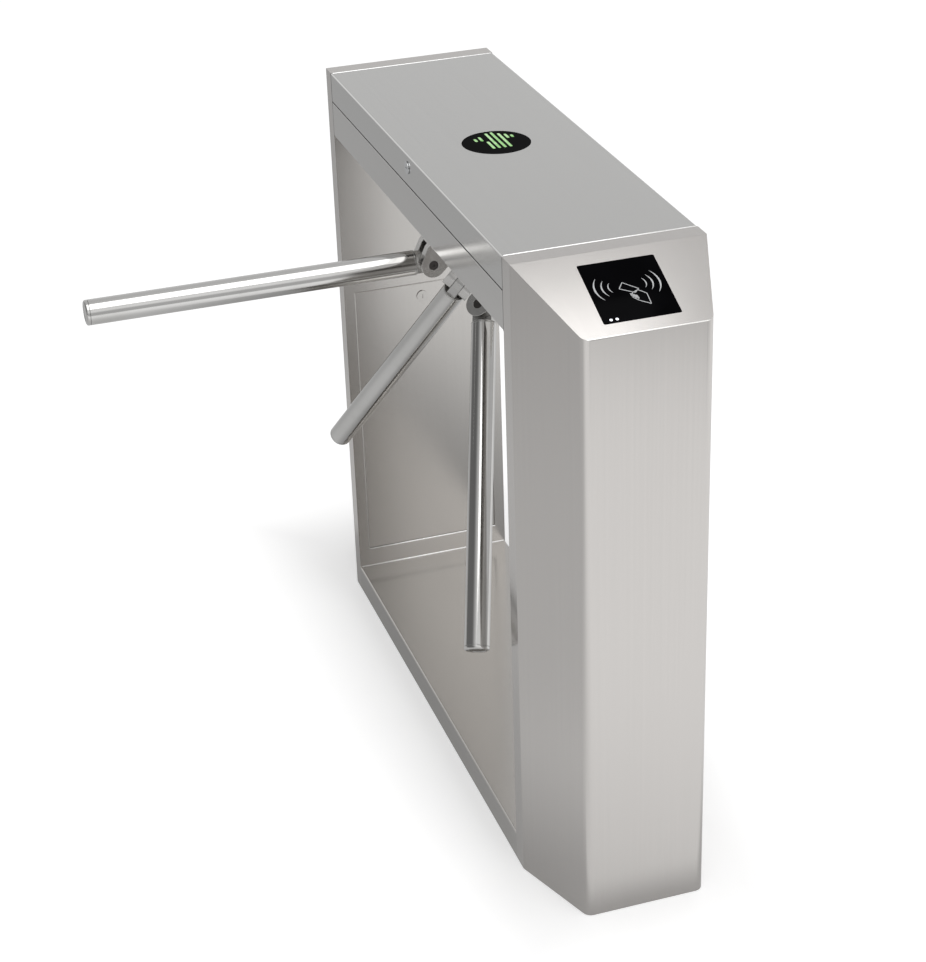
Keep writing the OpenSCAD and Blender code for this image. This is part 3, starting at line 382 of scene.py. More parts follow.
def rolled(bm, chosen, radius, segments=4):
    """Rounds the edges that the test picks, as a bend does."""
    edges = [e for e in bm.edges if chosen(*(v.co for v in e.verts))]
    bmesh.ops.bevel(bm, geom=edges, offset=radius, offset_type="OFFSET", segments=segments, profile=0.5,
                    affect="EDGES", material=-1, clamp_overlap=True)
    return bm


half_width, base_top, bend_r, touch = 0.140, 0.045, 0.0024, 1e-4


def long_outer(a, b):
    """Whether an edge runs lengthwise on one of the cabinet's long sides."""
    return abs(a.y - b.y) < touch and abs(a.y) > half_width - touch


# Painted shade: the base channel's steel is a little darker than the other sheets.
base_satin = satin_steel("base_satin", (0.555, 0.54, 0.52), 0.16, lengthwise, 0.05, 0.02, 0.08)
channel = rolled(drawn_from("base_tray"), lambda a, b: long_outer(a, b) and min(a.z, b.z) > base_top - touch, bend_r)
eased(settle(channel, "base_channel", "cabinet", "base_steel", base_satin, "base_tray"), 0.0004)

# Leg casings
# Each leg is a folded shell of brushed stainless sheet, tapered in plan, its upper end sloped
# for the reader. The grain runs upright and then up the slope.
leg_satin = satin_steel("leg_satin", (0.622, 0.601, 0.583), 0.19, up_and_over, 0.12)
for leg in ("near", "far"):
    dressed(f"{leg}_leg_shell", f"{leg}_leg_casing", "cabinet", "shell_steel", leg_satin, 0.0006)

# Leg inner sheets
# Flat sheets that close the legs towards the walkway, cut out for the doors and the cable way.
walkway_x = 0.430
inner_satin = satin_steel("inner_satin", (0.595, 0.578, 0.558), 0.22, up_and_over, 0.10)
dressed("leg_panels", "leg_inner_sheets", "cabinet", "inner_steel", inner_satin, 0.0004)

# Door beads
# Half-round beads: bright ones under each door and along the joints of the base and the inner sheets,
# in steel paler than the sheets as a painted highlight, and finer ones beside and above each door's gap.
# Painted highlight: the bright beads and the lid's hems are paler steel than any sheet.
painted_highlight_satin = satin_steel("painted_highlight_satin", (0.80, 0.79, 0.775), 0.16, lengthwise, 0.01)
door_half, door_low, door_high = 0.120, 0.082, 0.585
joint_bead_r, sill_bead_r, edge_bead_r = 0.0016, 0.0017, 0.0010
joint_bead_length, joint_bead_rise, sill_bead_drop, edge_bead_out = 0.275, 0.0004, 0.0022, 0.0011
lying, standing = Matrix.Rotation(math.pi / 2, 4, "X"), Matrix()


def bead(bm, radius, length, x, y, z, turn):
    """A straight round bead about one point."""
    bmesh.ops.create_cone(bm, cap_ends=True, segments=16, radius1=radius, radius2=radius, depth=length,
                          matrix=Matrix.Translation((x, y, z)) @ turn)


sill_beads, edge_beads = bmesh.new(), bmesh.new()
for x in (-walkway_x, walkway_x):
    bead(sill_beads, joint_bead_r, joint_bead_length, x, 0, base_top + joint_bead_rise, lying)
    bead(sill_beads, sill_bead_r, 2 * (door_half + edge_bead_r), x, 0, door_low - sill_bead_drop, lying)
    bead(edge_beads, edge_bead_r, 2 * (door_half + edge_bead_r), x, 0, door_high + edge_bead_out, lying)
    for y in (-door_half - edge_bead_out, door_half + edge_bead_out):
        bead(edge_beads, edge_bead_r, door_high - door_low, x, y, (door_low + door_high) / 2, standing)
eased(settle(sill_beads, "sill_beads", "cabinet", "inner_steel", painted_highlight_satin), 0.0003)
eased(settle(edge_beads, "door_edge_beads", "cabinet", "inner_steel", inner_satin), 0.0003)

# Access doors
# Folded pans that hook in behind the sheet at their lower edge and lock near their upper edge.
for leg in ("near", "far"):
    dressed(f"{leg}_leg_door", f"{leg}_access_door", f"{leg}_door", "inner_steel", inner_satin, 0.0005)


# Foot plates
# Hot-rolled plates in the legs' feet, drilled for the floor anchors, under a thin grey primer.
speckle, given, result = effect("speckle", {"Size": "Float"}, {"Height": "Float", "Tone": "Float"})
place = add(speckle, "ShaderNodeTexCoord")
grains = add(speckle, "ShaderNodeTexNoise")
grains.inputs["Detail"].default_value = 3
patches = noise(speckle, place.outputs["Object"], 38.0, 4.0, 0.6)
join(speckle, place.outputs["Object"], grains.inputs["Vector"], given.outputs["Size"], grains.inputs["Scale"],
     grains.outputs["Fac"], result.inputs["Height"], stretch(speckle, patches, 0.35, 0.65), result.inputs["Tone"])


def grained(name, metallic, dark, light, roughness, size, depth, spread=0.08):
    """A finish of fine grains and soft patches: castings, plating, primer and moulded plastic."""
    made, tree, shader = surface(name, metallic)
    grain = placed(tree, speckle, Size=size)
    marks = placed(tree, handling, Dust_Height=0.03)
    rough = maths(tree, "ADD", maths(tree, "MULTIPLY", grain.outputs["Tone"], spread), roughness - spread / 2)
    rough = maths(tree, "ADD", rough, maths(tree, "MULTIPLY", marks.outputs["Smudge"], spread))
    join(tree, blended(tree, grain.outputs["Tone"], dark, light), shader.inputs["Base Color"],
         rough, shader.inputs["Roughness"])
    raised(tree, shader, grain.outputs["Height"], depth)
    return made


primer = grained("grey_primer", 0.0, (0.15, 0.15, 0.15), (0.19, 0.185, 0.18), 0.6, 900, 0.00004)
dressed("foot_plates", "foot_sheets", "cabinet", "foot_steel", primer, 0.0004)

# Beam channel
# The folded channel between the legs, its floor open over the mechanism, its grain lengthwise.
beam_low = 0.872
beam_satin = satin_steel("beam_satin", (0.60, 0.59, 0.577), 0.135, lengthwise, 0.02, 0.02, 0.08)
channel = rolled(drawn_from("beam_tray"), lambda a, b: long_outer(a, b) and max(a.z, b.z) < beam_low + touch, bend_r)
eased(settle(channel, "beam_channel", "cabinet", "shell_steel", beam_satin, "beam_tray"), 0.0004)

# Lid seal
# Foam rubber strips glued along the beam's upper edges; the lid's skirt closes down on them.
rubber = grained("foam_rubber", 0.0, (0.012, 0.012, 0.013), (0.022, 0.022, 0.023), 0.75, 1400, 0.00006)
dressed("lid_gasket", "lid_seal", "cabinet", "seal_rubber", rubber, 0.0004)

# Lid
# A long folded cover with closed ends, brushed lengthwise and hinged at the back. The hem of each
# end stands a little proud of the top, in pale steel as a painted highlight.
lid_satin = satin_steel("lid_satin", (0.60, 0.597, 0.587), 0.17, lengthwise, 0.02, 0.02, 0.08)
dressed("lid", "lid_cover", "lid", "lid_steel", lid_satin, 0.0007)
lid_half_length, lid_top = 0.42925, 0.980
hem_r, hem_inset, hem_drop = 0.0014, 0.0026, 0.0006
hems = bmesh.new()
for x in (hem_r - lid_half_length, lid_half_length - hem_r):
    bead(hems, hem_r, 2 * (half_width - hem_inset), x, 0, lid_top - hem_drop, lying)
eased(settle(hems, "lid_end_hems", "lid", "lid_steel", painted_highlight_satin), 0.0003)

# Locks
# Chromed cam locks: the turning barrel with its key slot, and the keeper that the lid's cam turns under.
chrome = grained("chrome_plate", 1.0, (0.60, 0.61, 0.62), (0.68, 0.69, 0.70), 0.14, 260, 0.000004)
satin_lock = grained("satin_lock", 1.0, (0.56, 0.545, 0.525), (0.60, 0.585, 0.565), 0.23, 420, 0.000004, 0.03)
for lock, name, finish in (("lid_lock", "lid_lock_barrel", chrome), ("near_door_lock", "near_door_barrel", satin_lock),
                           ("far_door_lock", "far_door_barrel", satin_lock)):
    dressed(lock, name, lock, "lock_zinc", finish, 0.0006, 3)
plating = grained("zinc_plate", 1.0, (0.46, 0.47, 0.47), (0.58, 0.585, 0.57), 0.36, 320, 0.00001, 0.14)
dressed("lock_keeper", "lid_lock_catch", "cabinet", "plate_zinc", plating, 0.0004)

# Hinges
# Three small butt hinges of plated steel on the back, each leaf held by two low screws.
dressed("lid_hinge_leaves", "lid_hinge_halves", "lid", "hinge_zinc", plating, 0.0003)
dressed("beam_hinge_leaves", "beam_hinge_halves", "cabinet", "hinge_zinc", plating, 0.0003)
dressed("hinge_pins", "hinge_rods", "cabinet", "screw_steel", plating, 0.0003)


def turned(bm, profile, at, steps=48, closed=True):
    """Turns an outline of radius and height round its own axis, then puts it in place."""
    made = bmesh.new()
    points = [made.verts.new((r, 0, z)) for r, z in profile]
    following = points[1:] + (points[:1] if closed else [])
    sides = [made.edges.new(pair) for pair in zip(points, following)]
    bmesh.ops.spin(made, geom=points + sides, axis=(0, 0, 1), cent=(0, 0, 0), dvec=(0, 0, 0), steps=steps,
                   angle=math.tau, use_merge=True, use_duplicate=False)
    bmesh.ops.remove_doubles(made, verts=made.verts, dist=1e-6)
    bmesh.ops.dissolve_degenerate(made, dist=1e-7, edges=made.edges)
    bmesh.ops.recalc_face_normals(made, faces=made.faces)
    merge(bm, made, at)


def merge(bm, made, at):
    """Adds one finished form to another, in its place."""
    made.transform(at)
    if at.determinant() < 0:
        bmesh.ops.reverse_faces(made, faces=made.faces)
    carrier = bpy.data.meshes.new("carrier")
    made.to_mesh(carrier)
    made.free()
    bm.from_mesh(carrier)
    bpy.data.meshes.remove(carrier)


def domed_screw(bm, radius, rise, at):
    """A low domed screw head with a round recess."""
    turned(bm, [(0, 0), (radius, 0), (radius, rise * 0.3), (radius * 0.8, rise * 0.8), (radius * 0.42, rise),
                (radius * 0.36, rise * 0.4), (0, rise * 0.4)], at, 20, closed=False)


hinge_x, leaf_face_y, screw_shift = (-0.860 / 3, 0, 0.860 / 3), 0.1415, 0.011
backwards = Matrix.Rotation(-math.pi / 2, 4, "X")
for name, body, z in (("lid_hinge_screws", "lid", 0.9475), ("beam_hinge_screws", "cabinet", 0.9145)):
    screws = bmesh.new()
    for x in hinge_x:
        for shift in (-screw_shift, screw_shift):
            domed_screw(screws, 0.0032, 0.0012, Matrix.Translation((x + shift, leaf_face_y, z)) @ backwards)
    settle(screws, name, body, "screw_steel", plating)


# Indicator
# A black acrylic disc set flush in the lid. Bars of green light on it show the way through,
# and shorter ones stand on both sides of them.
def smooth_finish(name, metallic, clean, touched, rough_clean, rough_touched, grain=None, **settings):
    """A smooth finish whose colour and gloss change a little where hands touch it."""
    made, tree, shader = surface(name, metallic, **settings)
    smudge = placed(tree, handling, Dust_Height=0.01).outputs["Smudge"]
    join(tree, stretch(tree, smudge, 0, 1, rough_clean, rough_touched), shader.inputs["Roughness"],
         blended(tree, smudge, clean, touched), shader.inputs["Base Color"])
    if grain:
        size, depth = grain
        raised(tree, shader, placed(tree, speckle, Size=size).outputs["Height"], depth)
    return made


def patchy(tree, scale, low, high):
    """Soft patches that make a plain colour vary."""
    place = add(tree, "ShaderNodeTexCoord")
    return stretch(tree, noise(tree, place.outputs["Object"], scale), low, high)


def glowing(name, strength, scale, low, high, light, own):
    """A lit plastic. Its light and its own colour each vary between two colours."""
    made, tree, shader = surface(name, 0.0, Roughness=0.3, Emission_Strength=strength)
    tone = patchy(tree, scale, low, high)
    join(tree, blended(tree, tone, *light), shader.inputs["Emission Color"],
         blended(tree, tone, *own), shader.inputs["Base Color"])
    return made


def bricks(bm, *boxes):
    """Small upright blocks, each from its lowest and highest corner."""
    for low, high in boxes:
        low, high = Vector(low), Vector(high)
        bmesh.ops.create_cube(bm, size=1,
                              matrix=Matrix.Translation((low + high) / 2) @ Matrix.Diagonal((*(high - low), 1)))
    return bm


acrylic = smooth_finish("black_acrylic", 0.0, (0.0012, 0.0012, 0.0014), (0.0022, 0.0022, 0.0025), 0.05, 0.11,
                        IOR=1.49, Specular_IOR_Level=0.004)
disc_r, flange_r, lid_sheet, disc_t = 0.052, 0.059, 0.0015, 0.0055
disc = bmesh.new()
turned(disc, [(0, lid_top), (disc_r, lid_top), (disc_r, lid_top - lid_sheet), (flange_r, lid_top - lid_sheet),
              (flange_r, lid_top - disc_t), (0, lid_top - disc_t)], Matrix(), 96, closed=False)
eased(settle(disc, "indicator_disc", "lid", "window_black", acrylic, "indicator_window"), 0.0002)

glow = glowing("green_light", 1.1, 90.0, 0.35, 0.65, ((0.16, 0.40, 0.10), (0.36, 0.56, 0.28)),
               ((0.05, 0.12, 0.04), (0.08, 0.16, 0.06)))
bar_w, bar_t, bar_end = 0.0042, 0.00015, 0.026
bars = bmesh.new()
for y, x0, x1 in (
    (0.0150, -0.037, bar_end), (0.0060, -0.045, bar_end), (-0.0030, -0.043, bar_end), (-0.0115, -0.007, bar_end),
    (0.0235, -0.031, -0.012), (0.0312, -0.024, -0.013), (-0.0175, -0.031, -0.012), (-0.0262, -0.025, -0.013),
):
    bricks(bars, ((x0, y - bar_w / 2, lid_top), (x1, y + bar_w / 2, lid_top + bar_t)))
corners = [e for e in bars.edges if abs(e.verts[0].co.z - e.verts[1].co.z) > bar_t / 2]
bmesh.ops.bevel(bars, geom=corners, offset=bar_w * 0.45, offset_type="OFFSET", segments=4, profile=0.5,
                affect="EDGES", material=-1)
settle(bars, "indicator_bars", "lid", "window_black", glow)

# Leg joints
# Thin dark strips of seal rubber on the legs where the beam and the lid's ends meet them, just proud of the faces:
# painted shade along these joints.
joint_t, joint_proud, joint_low, joint_high = 0.0006, 0.0001, 0.8722, 0.9790
painted_shade_lines = bmesh.new()
for x in (-walkway_x, walkway_x - joint_t):
    for y in (-half_width - joint_proud, half_width + joint_proud - joint_t):
        bricks(painted_shade_lines, ((x, y, joint_low), (x + joint_t, y + joint_t, joint_high)))
settle(painted_shade_lines, "leg_joint_shade_lines", "cabinet", "seal_rubber", rubber)

# Indicator lamp board
# A round circuit board on four posts under the disc, with five rows of small lamps.
laminate = grained("green_laminate", 0.0, (0.012, 0.075, 0.035), (0.018, 0.10, 0.045), 0.34, 500, 0.00001)
dressed("indicator_board", "lamp_board", "lid", "board_green", laminate, 0.0002)
pitch_x, pitch_y, lamp_half_x, lamp_half_y, lamp_low, lamp_high = 0.011, 0.008, 0.0018, 0.0015, 0.9695, 0.9712
lamps = bmesh.new()
for column in range(-2, 3):
    for row in range(-2, 3):
        x, y = column * pitch_x, row * pitch_y
        bricks(lamps, ((x - lamp_half_x, y - lamp_half_y, lamp_low), (x + lamp_half_x, y + lamp_half_y, lamp_high)))
lamp_white = grained("lamp_white", 0.0, (0.62, 0.62, 0.58), (0.72, 0.72, 0.68), 0.35, 600, 0.00001)
eased(settle(lamps, "lamp_rows", "lid", "board_green", lamp_white), 0.0003)

# Reader windows
# Black toughened glass set flush in each slope, its wider rim bonded behind the sheet.
glass = smooth_finish("black_glass", 0.0, (0.0012, 0.0012, 0.0016), (0.002, 0.002, 0.0026), 0.03, 0.10,
                      IOR=1.52, Specular_IOR_Level=0.012)
dressed("reader_windows", "reader_glass", "cabinet", "glass_black", glass, 0.0003)

# Reader signs
# A plain tap-here sign printed on the glass in pale ink: a card held in a hand between waves,
# and two small white lamps in the lower corner.
slope_middle, slope_fall, slope_run = (0.530, 0, 0.950), 0.060, 0.140
slope = Matrix.Translation(slope_middle) @ Matrix.Rotation(math.atan2(slope_fall, slope_run), 4, "Y")
mirror_x = Matrix.Scale(-1, 4, (1, 0, 0))
ink_t, stroke = 0.00012, 0.0012
wave_x, wave_lift, half_sweep = -0.007, 0.0005, math.radians(36)


def new_points(grown):
    """The vertices among what an operator has made."""
    return [v for v in grown["geom"] if isinstance(v, bmesh.types.BMVert)]


def thicken(bm):
    """Gives a flat stroke of the sign its ink thickness."""
    bmesh.ops.recalc_face_normals(bm, faces=bm.faces)
    if bm.faces[:][0].normal.z < 0:
        bmesh.ops.reverse_faces(bm, faces=bm.faces)
    grown = bmesh.ops.extrude_face_region(bm, geom=bm.faces[:])
    bmesh.ops.translate(bm, verts=new_points(grown), vec=(0, 0, ink_t))
    bmesh.ops.recalc_face_normals(bm, faces=bm.faces)


def wave(bm, centre_y, radius, weight, at):
    """One curved stroke, full in the middle and thin at its ends."""
    made = bmesh.new()
    way = 1 if centre_y > 0 else -1
    chord = way * radius * math.cos(half_sweep)
    start = made.verts.new((-radius * math.sin(half_sweep), chord, 0))
    bmesh.ops.spin(made, geom=[start], axis=(0, 0, 1), cent=(0, 0, 0), dvec=(0, 0, 0), steps=20,
                   angle=-2 * half_sweep * way, use_merge=False, use_duplicate=False)
    outer = new_points(bmesh.ops.extrude_edge_only(made, edges=made.edges[:]))
    bmesh.ops.scale(made, vec=(1, 1 + weight / (radius - abs(chord)), 1), space=Matrix.Translation((0, -chord, 0)),
                    verts=outer)
    bmesh.ops.translate(made, vec=(0, way * wave_lift, 0), verts=outer)
    thicken(made)
    made.transform(Matrix.Translation((wave_x, centre_y - way * weight / 2, 0)))
    merge(bm, made, at)


def outline(bm, corners, radius, at):
    """A closed line round a shape with soft corners."""
    made = bmesh.new()
    made.faces.new([made.verts.new((*c, 0)) for c in corners])
    bmesh.ops.bevel(made, geom=made.verts[:], offset=radius, offset_type="OFFSET", segments=4, profile=0.5,
                    affect="VERTICES", material=-1)
    rim = bmesh.ops.inset_region(made, faces=made.faces[:], thickness=stroke, use_even_offset=True,
                                 use_boundary=True)["faces"]
    bmesh.ops.delete(made, geom=[f for f in made.faces if f not in rim], context="FACES")
    thicken(made)
    merge(bm, made, at)


card = [(-0.0139, -0.0054), (0.0016, 0.0137), (0.0085, 0.0060), (-0.0027, -0.0136)]
hand = [(0.0029, 0.0112), (0.0116, 0.0212), (0.0322, 0.0205), (0.0232, 0.0065), (0.0149, -0.0015), (0.0063, 0.0017)]
finger = [(-0.0042, -0.0010), (-0.0034, 0.0018), (0.0036, 0.0032), (0.0042, 0.0006)]
wave_y, lamp_x = 0.0115, 0.048
sign, lamp_dots = bmesh.new(), bmesh.new()
for end in (slope, mirror_x @ slope):
    for y in (-wave_y, wave_y):
        for radius, weight in ((0.0335, 0.0021), (0.0235, 0.0017), (0.0145, 0.0012)):
            wave(sign, y, radius, weight, end)
    outline(sign, card, 0.0012, end)
    outline(sign, hand, 0.0018, end)
    for x, y in ((0.0115, -0.0012), (0.0135, 0.0020), (0.0155, 0.0050)):
        outline(sign, [(x + dx, y + dy) for dx, dy in finger], 0.0009, end)
    for y in (-0.0424, -0.0340):
        turned(lamp_dots, [(0, 0.0004), (0.0016, 0.0003), (0.0022, 0)], end @ Matrix.Translation((lamp_x, y, 0)), 24,
               closed=False)
ink, tree, shader = surface("pale_ink", 0.0, Roughness=0.45)
join(tree, blended(tree, patchy(tree, 900.0, 0.3, 0.7), (0.50, 0.51, 0.52), (0.62, 0.63, 0.64)),
     shader.inputs["Base Color"])
settle(sign, "reader_signs", "cabinet", "glass_black", ink)
lit = glowing("white_light", 1.0, 400.0, 0.3, 0.7, ((0.80, 0.88, 0.98), (0.95, 0.97, 1.0)),
              ((0.5, 0.5, 0.5), (0.6, 0.6, 0.6)))
settle(lamp_dots, "reader_lamps", "cabinet", "glass_black", lit)

# Reader modules
# The antenna boxes behind the glass, moulded in dark plastic, with a plug at the back.
moulding = grained("dark_moulding", 0.0, (0.035, 0.036, 0.038), (0.05, 0.051, 0.053), 0.5, 1300, 0.00003)
dressed("reader_modules", "reader_boxes", "cabinet", "module_plastic", moulding, 0.0008)

# Mechanism cowl
# A folded stainless box below the beam, flanged and screwed up from below, bored for the shaft.
cowl_satin = satin_steel("cowl_satin", (0.58, 0.57, 0.555), 0.26, lengthwise, 0.02)
dressed("mechanism_cowl", "cowl_box", "cabinet", "shell_steel", cowl_satin, 0.0006)
cowl_front, cowl_back, flange_x, flange_low = -0.08246, 0.125, 0.169, 0.8705
downwards = Matrix.Rotation(math.pi, 4, "X")
screws = bmesh.new()
for x in (-flange_x, flange_x):
    for share in (0.15, 0.5, 0.85):
        y = cowl_front + share * (cowl_back - cowl_front)
        domed_screw(screws, 0.005, 0.0028, Matrix.Translation((x, y, flange_low)) @ downwards)
settle(screws, "cowl_button_screws", "cabinet", "screw_steel", chrome, "cowl_screws")

# Mechanism frame
# Zinc-plated plates at 45 degrees: front, rear and two sides, hung from the beam's floor on angles.
for node, name in (("front_plate", "front_frame_plate"), ("rear_plate", "rear_frame_plate"),
                   ("side_plates", "side_frame_plates"), ("frame_hangers", "frame_angles")):
    dressed(node, name, "cabinet", "plate_zinc", plating, 0.0006)

# Bearing housing
# A turned iron housing, painted, bolted to the front plate, with a sealed ball bearing at each end.
iron = grained("painted_iron", 0.2, (0.06, 0.065, 0.07), (0.085, 0.09, 0.095), 0.48, 700, 0.00006)
race = grained("race_steel", 1.0, (0.52, 0.52, 0.52), (0.62, 0.62, 0.61), 0.16, 240, 0.000004)
dressed("bearing_housing", "shaft_housing", "cabinet", "housing_iron", iron, 0.0008)
dressed("shaft_bearings", "ball_bearings", "cabinet", "bearing_steel", race, 0.0004)

# Main shaft
# The ground shaft with its collar and flange, and the nut that clamps the index disc.
ground_steel = grained("ground_steel", 1.0, (0.42, 0.41, 0.40), (0.52, 0.51, 0.495), 0.26, 300, 0.000008)
dressed("main_shaft", "turning_shaft", "head", "shaft_steel", ground_steel, 0.0008)
dressed("shaft_nut", "clamp_nut", "head", "screw_steel", plating, 0.0006)

# Hub
# A satin casting: a thick disc with three slotted ears, their rims rounded where the mould parts.
# A turned cap and three screws hold it on the shaft, and a black screw holds each arm in its ear.
casting = grained("satin_casting", 1.0, (0.58, 0.57, 0.555), (0.66, 0.65, 0.635), 0.24, 520, 0.00001, 0.06)
nose = grained("satin_nose", 1.0, (0.50, 0.495, 0.485), (0.58, 0.575, 0.56), 0.24, 420, 0.00001)
blacked = grained("black_oxide", 0.6, (0.07, 0.066, 0.062), (0.11, 0.10, 0.095), 0.36, 500, 0.00001)
dressed("hub", "three_ear_hub", "head", "hub_cast", casting, 0.0011, 3)
dressed("hub_cap", "hub_nose_cap", "head", "root_steel", nose, 0.0004)
dressed("hub_screws", "hub_socket_screws", "head", "screw_steel", chrome, 0.0005)
dressed("pivot_pins", "arm_pivot_screws", "head", "black_screw", blacked, 0.0005)

# Arms
# Three polished stainless tubes, each welded on a root whose tongue sits in its ear,
# and closed at the tip by a spun cap. The polish shows the room along the tube.
mirror_polish = smooth_finish("mirror_polish", 1.0, (0.66, 0.655, 0.645), (0.62, 0.615, 0.60), 0.085, 0.14,
                              (180.0, 0.000003))
head = Matrix.Translation((0, -0.022, 0.808)) @ Matrix.Rotation(math.radians(135), 4, "X")
pivot = 0.090 * math.sin(math.radians(45))
tube_r, bore_r, tube_from, tube_to = 0.019, 0.0175, 0.027, 0.520
plug_to, arm_tip, dish = tube_to - 0.014, 0.526, 0.0006
for body, turn in (("blocking_arm", 0), ("near_arm", -120), ("far_arm", 120)):
    along = (head @ Matrix.Rotation(math.radians(turn), 4, "Z") @ Matrix.Translation((0, pivot, pivot))
             @ Matrix.Rotation(math.radians(-45), 4, "X"))
    tube = bmesh.new()
    turned(tube, [(tube_r, tube_from), (tube_r, tube_to), (bore_r, tube_to), (bore_r, tube_from)], along, 96)
    eased(settle(tube, f"{body}_tube", body, "arm_polish", mirror_polish, body), 0.0003)
    cap = bmesh.new()
    turned(cap, [(0, plug_to), (bore_r, plug_to), (bore_r, tube_to), (tube_r, tube_to + 0.0004),
                 (tube_r, arm_tip - 0.0026), (tube_r - 0.0008, arm_tip - 0.0010), (tube_r - 0.0026, arm_tip),
                 (tube_r - 0.0060, arm_tip), (tube_r - 0.0068, arm_tip - dish), (0, arm_tip - dish)],
           along, 96, closed=False)
    eased(settle(cap, f"{body}_end_cap", body, "arm_polish", mirror_polish, f"{body}_cap"), 0.0004)
    dressed(f"{body}_root", f"{body}_tongue", body, "root_steel", nose, 0.0006)

# Index disc, gears and damper
# The hardened index disc with its notches, the brass gear behind it, and the damper with its pinion.
hardened = grained("hardened_steel", 1.0, (0.26, 0.255, 0.25), (0.36, 0.35, 0.34), 0.3, 420, 0.00001)
brass = grained("cut_brass", 1.0, (0.52, 0.38, 0.16), (0.62, 0.46, 0.20), 0.26, 360, 0.000008)
chip_black = grained("moulded_black", 0.0, (0.014, 0.014, 0.015), (0.022, 0.022, 0.023), 0.45, 1800, 0.00002)
dressed("index_disc", "notched_disc", "head", "index_steel", hardened, 0.0004)
dressed("damper_gear", "shaft_gear", "head", "gear_brass", brass, 0.00015)
dressed("damper_pinion", "small_gear", "damper_pinion", "gear_brass", brass, 0.00015)
dressed("damper", "rotary_damper", "cabinet", "damper_black", chip_black, 0.0005)

# Pawls
# Cut steel levers on shouldered pins. Each drops its tooth in the index disc, and the ground
# plunger of its solenoid moves it.
for leg in ("near", "far"):
    dressed(f"{leg}_pawl", f"{leg}_locking_lever", f"{leg}_pawl", "pawl_steel", hardened, 0.0004)
    dressed(f"{leg}_plunger", f"{leg}_pull_rod", f"{leg}_plunger", "bearing_steel", race, 0.0004)
dressed("pawl_pins", "lever_pins", "cabinet", "screw_steel", plating, 0.0004)

# Solenoids
# Wound coils in taped copper wire between square end plates, flat on the rear plate.
taped = grained("copper_tape", 0.7, (0.30, 0.12, 0.05), (0.42, 0.18, 0.08), 0.38, 800, 0.00003)
coil_from, coil_to, coil_y, coil_back, plate_t = 0.0795, 0.1195, 0.0815, -0.116, 0.0025
core_r, winding_r, cheek_r, plate_r = 0.0041, 0.0123, 0.0131, 0.0198
cheek, winding = plate_t + 0.0030, plate_t + 0.0037  # where each cheek ends and the winding begins
coils, plates = bmesh.new(), bmesh.new()
for flip in (Matrix(), mirror_x):
    middle = flip @ head @ Matrix.Translation((0, coil_y, coil_back)) @ Matrix.Rotation(math.pi / 2, 4, "Y")
    half = [(core_r, plate_t), (cheek_r, plate_t), (cheek_r, cheek), (winding_r, winding)]
    turned(coils, [(r, coil_from + x) for r, x in half] + [(r, coil_to - x) for r, x in reversed(half)], middle, 48)
    for x in (coil_from, coil_to - plate_t):
        plate = bmesh.new()
        turned(plate, [(core_r, x), (plate_r, x), (plate_r, x + plate_t), (core_r, x + plate_t)], Matrix(), 4)
        merge(plates, plate, middle @ Matrix.Rotation(math.pi / 4, 4, "Z"))
eased(settle(coils, "solenoid_windings", "cabinet", "solenoid_coil", taped, "solenoids"), 0.0004)
eased(settle(plates, "solenoid_end_plates", "cabinet", "plate_zinc", plating), 0.0004)

# Position sensors
# Threaded brass barrels through the rear plate, each locked by a nut, facing the disc's notches.
dressed("position_sensors", "sensor_barrels", "cabinet", "sensor_brass", brass, 0.0005)

# Equipment plates
# Plain plated angles that stand on the foot plates and carry what is inside the legs.
dressed("equipment_plates", "equipment_angles", "cabinet", "plate_zinc", plating, 0.0004)

# Power supply
# A pressed aluminium case with rows of vent slots, and a screw terminal strip at its foot.
pressed = grained("pressed_aluminium", 1.0, (0.52, 0.525, 0.53), (0.62, 0.62, 0.62), 0.38, 420, 0.00002)
case_x0, case_x1, case_y, case_z0, case_z1 = 0.5085, 0.5535, 0.050, 0.360, 0.520
vent_low, vent_high, vent_half = case_z0 + 0.020, case_z1 - 0.014, case_y - 0.012
case = bmesh.new()
front = Matrix.Translation((case_x0, 0, (case_z0 + case_z1) / 2)) @ Matrix.Rotation(-math.pi / 2, 4, "Y")
bmesh.ops.create_grid(case, x_segments=12, y_segments=9, size=0.5,
                      matrix=front @ Matrix.Diagonal((case_z1 - case_z0, 2 * case_y, 1, 1)))
skin = bmesh.ops.extrude_face_region(case, geom=case.faces[:])
bmesh.ops.translate(case, verts=new_points(skin), vec=(case_x1 - case_x0, 0, 0))
bmesh.ops.recalc_face_normals(case, faces=case.faces)
vents = [f for f in case.faces if f.normal.x < -0.9 and vent_low < f.calc_center_median().z < vent_high
         and abs(f.calc_center_median().y) < vent_half]
bmesh.ops.inset_individual(case, faces=vents, thickness=0.0032, depth=0.0)
bmesh.ops.inset_individual(case, faces=vents, thickness=0.0004, depth=-0.0025)
eased(settle(case, "supply_case", "cabinet", "supply_alu", pressed, "power_supply"), 0.0004)
strip_low, strip_high, rib_high = case_z0 + 0.0005, case_z0 + 0.0115, case_z0 + 0.0150
strip_half, strip_deep, rib_pitch, rib_half, rib_deep = 0.048, 0.012, 0.0105, 0.0007, 0.0118
strip = bricks(bmesh.new(), ((case_x0 - strip_deep, -strip_half, strip_low), (case_x0, strip_half, strip_high)))
for row in range(-4, 5):
    y = row * rib_pitch
    bricks(strip, ((case_x0 - rib_deep, y - rib_half, strip_high), (case_x0, y + rib_half, rib_high)))
eased(settle(strip, "supply_terminals", "cabinet", "damper_black", chip_black), 0.0003)

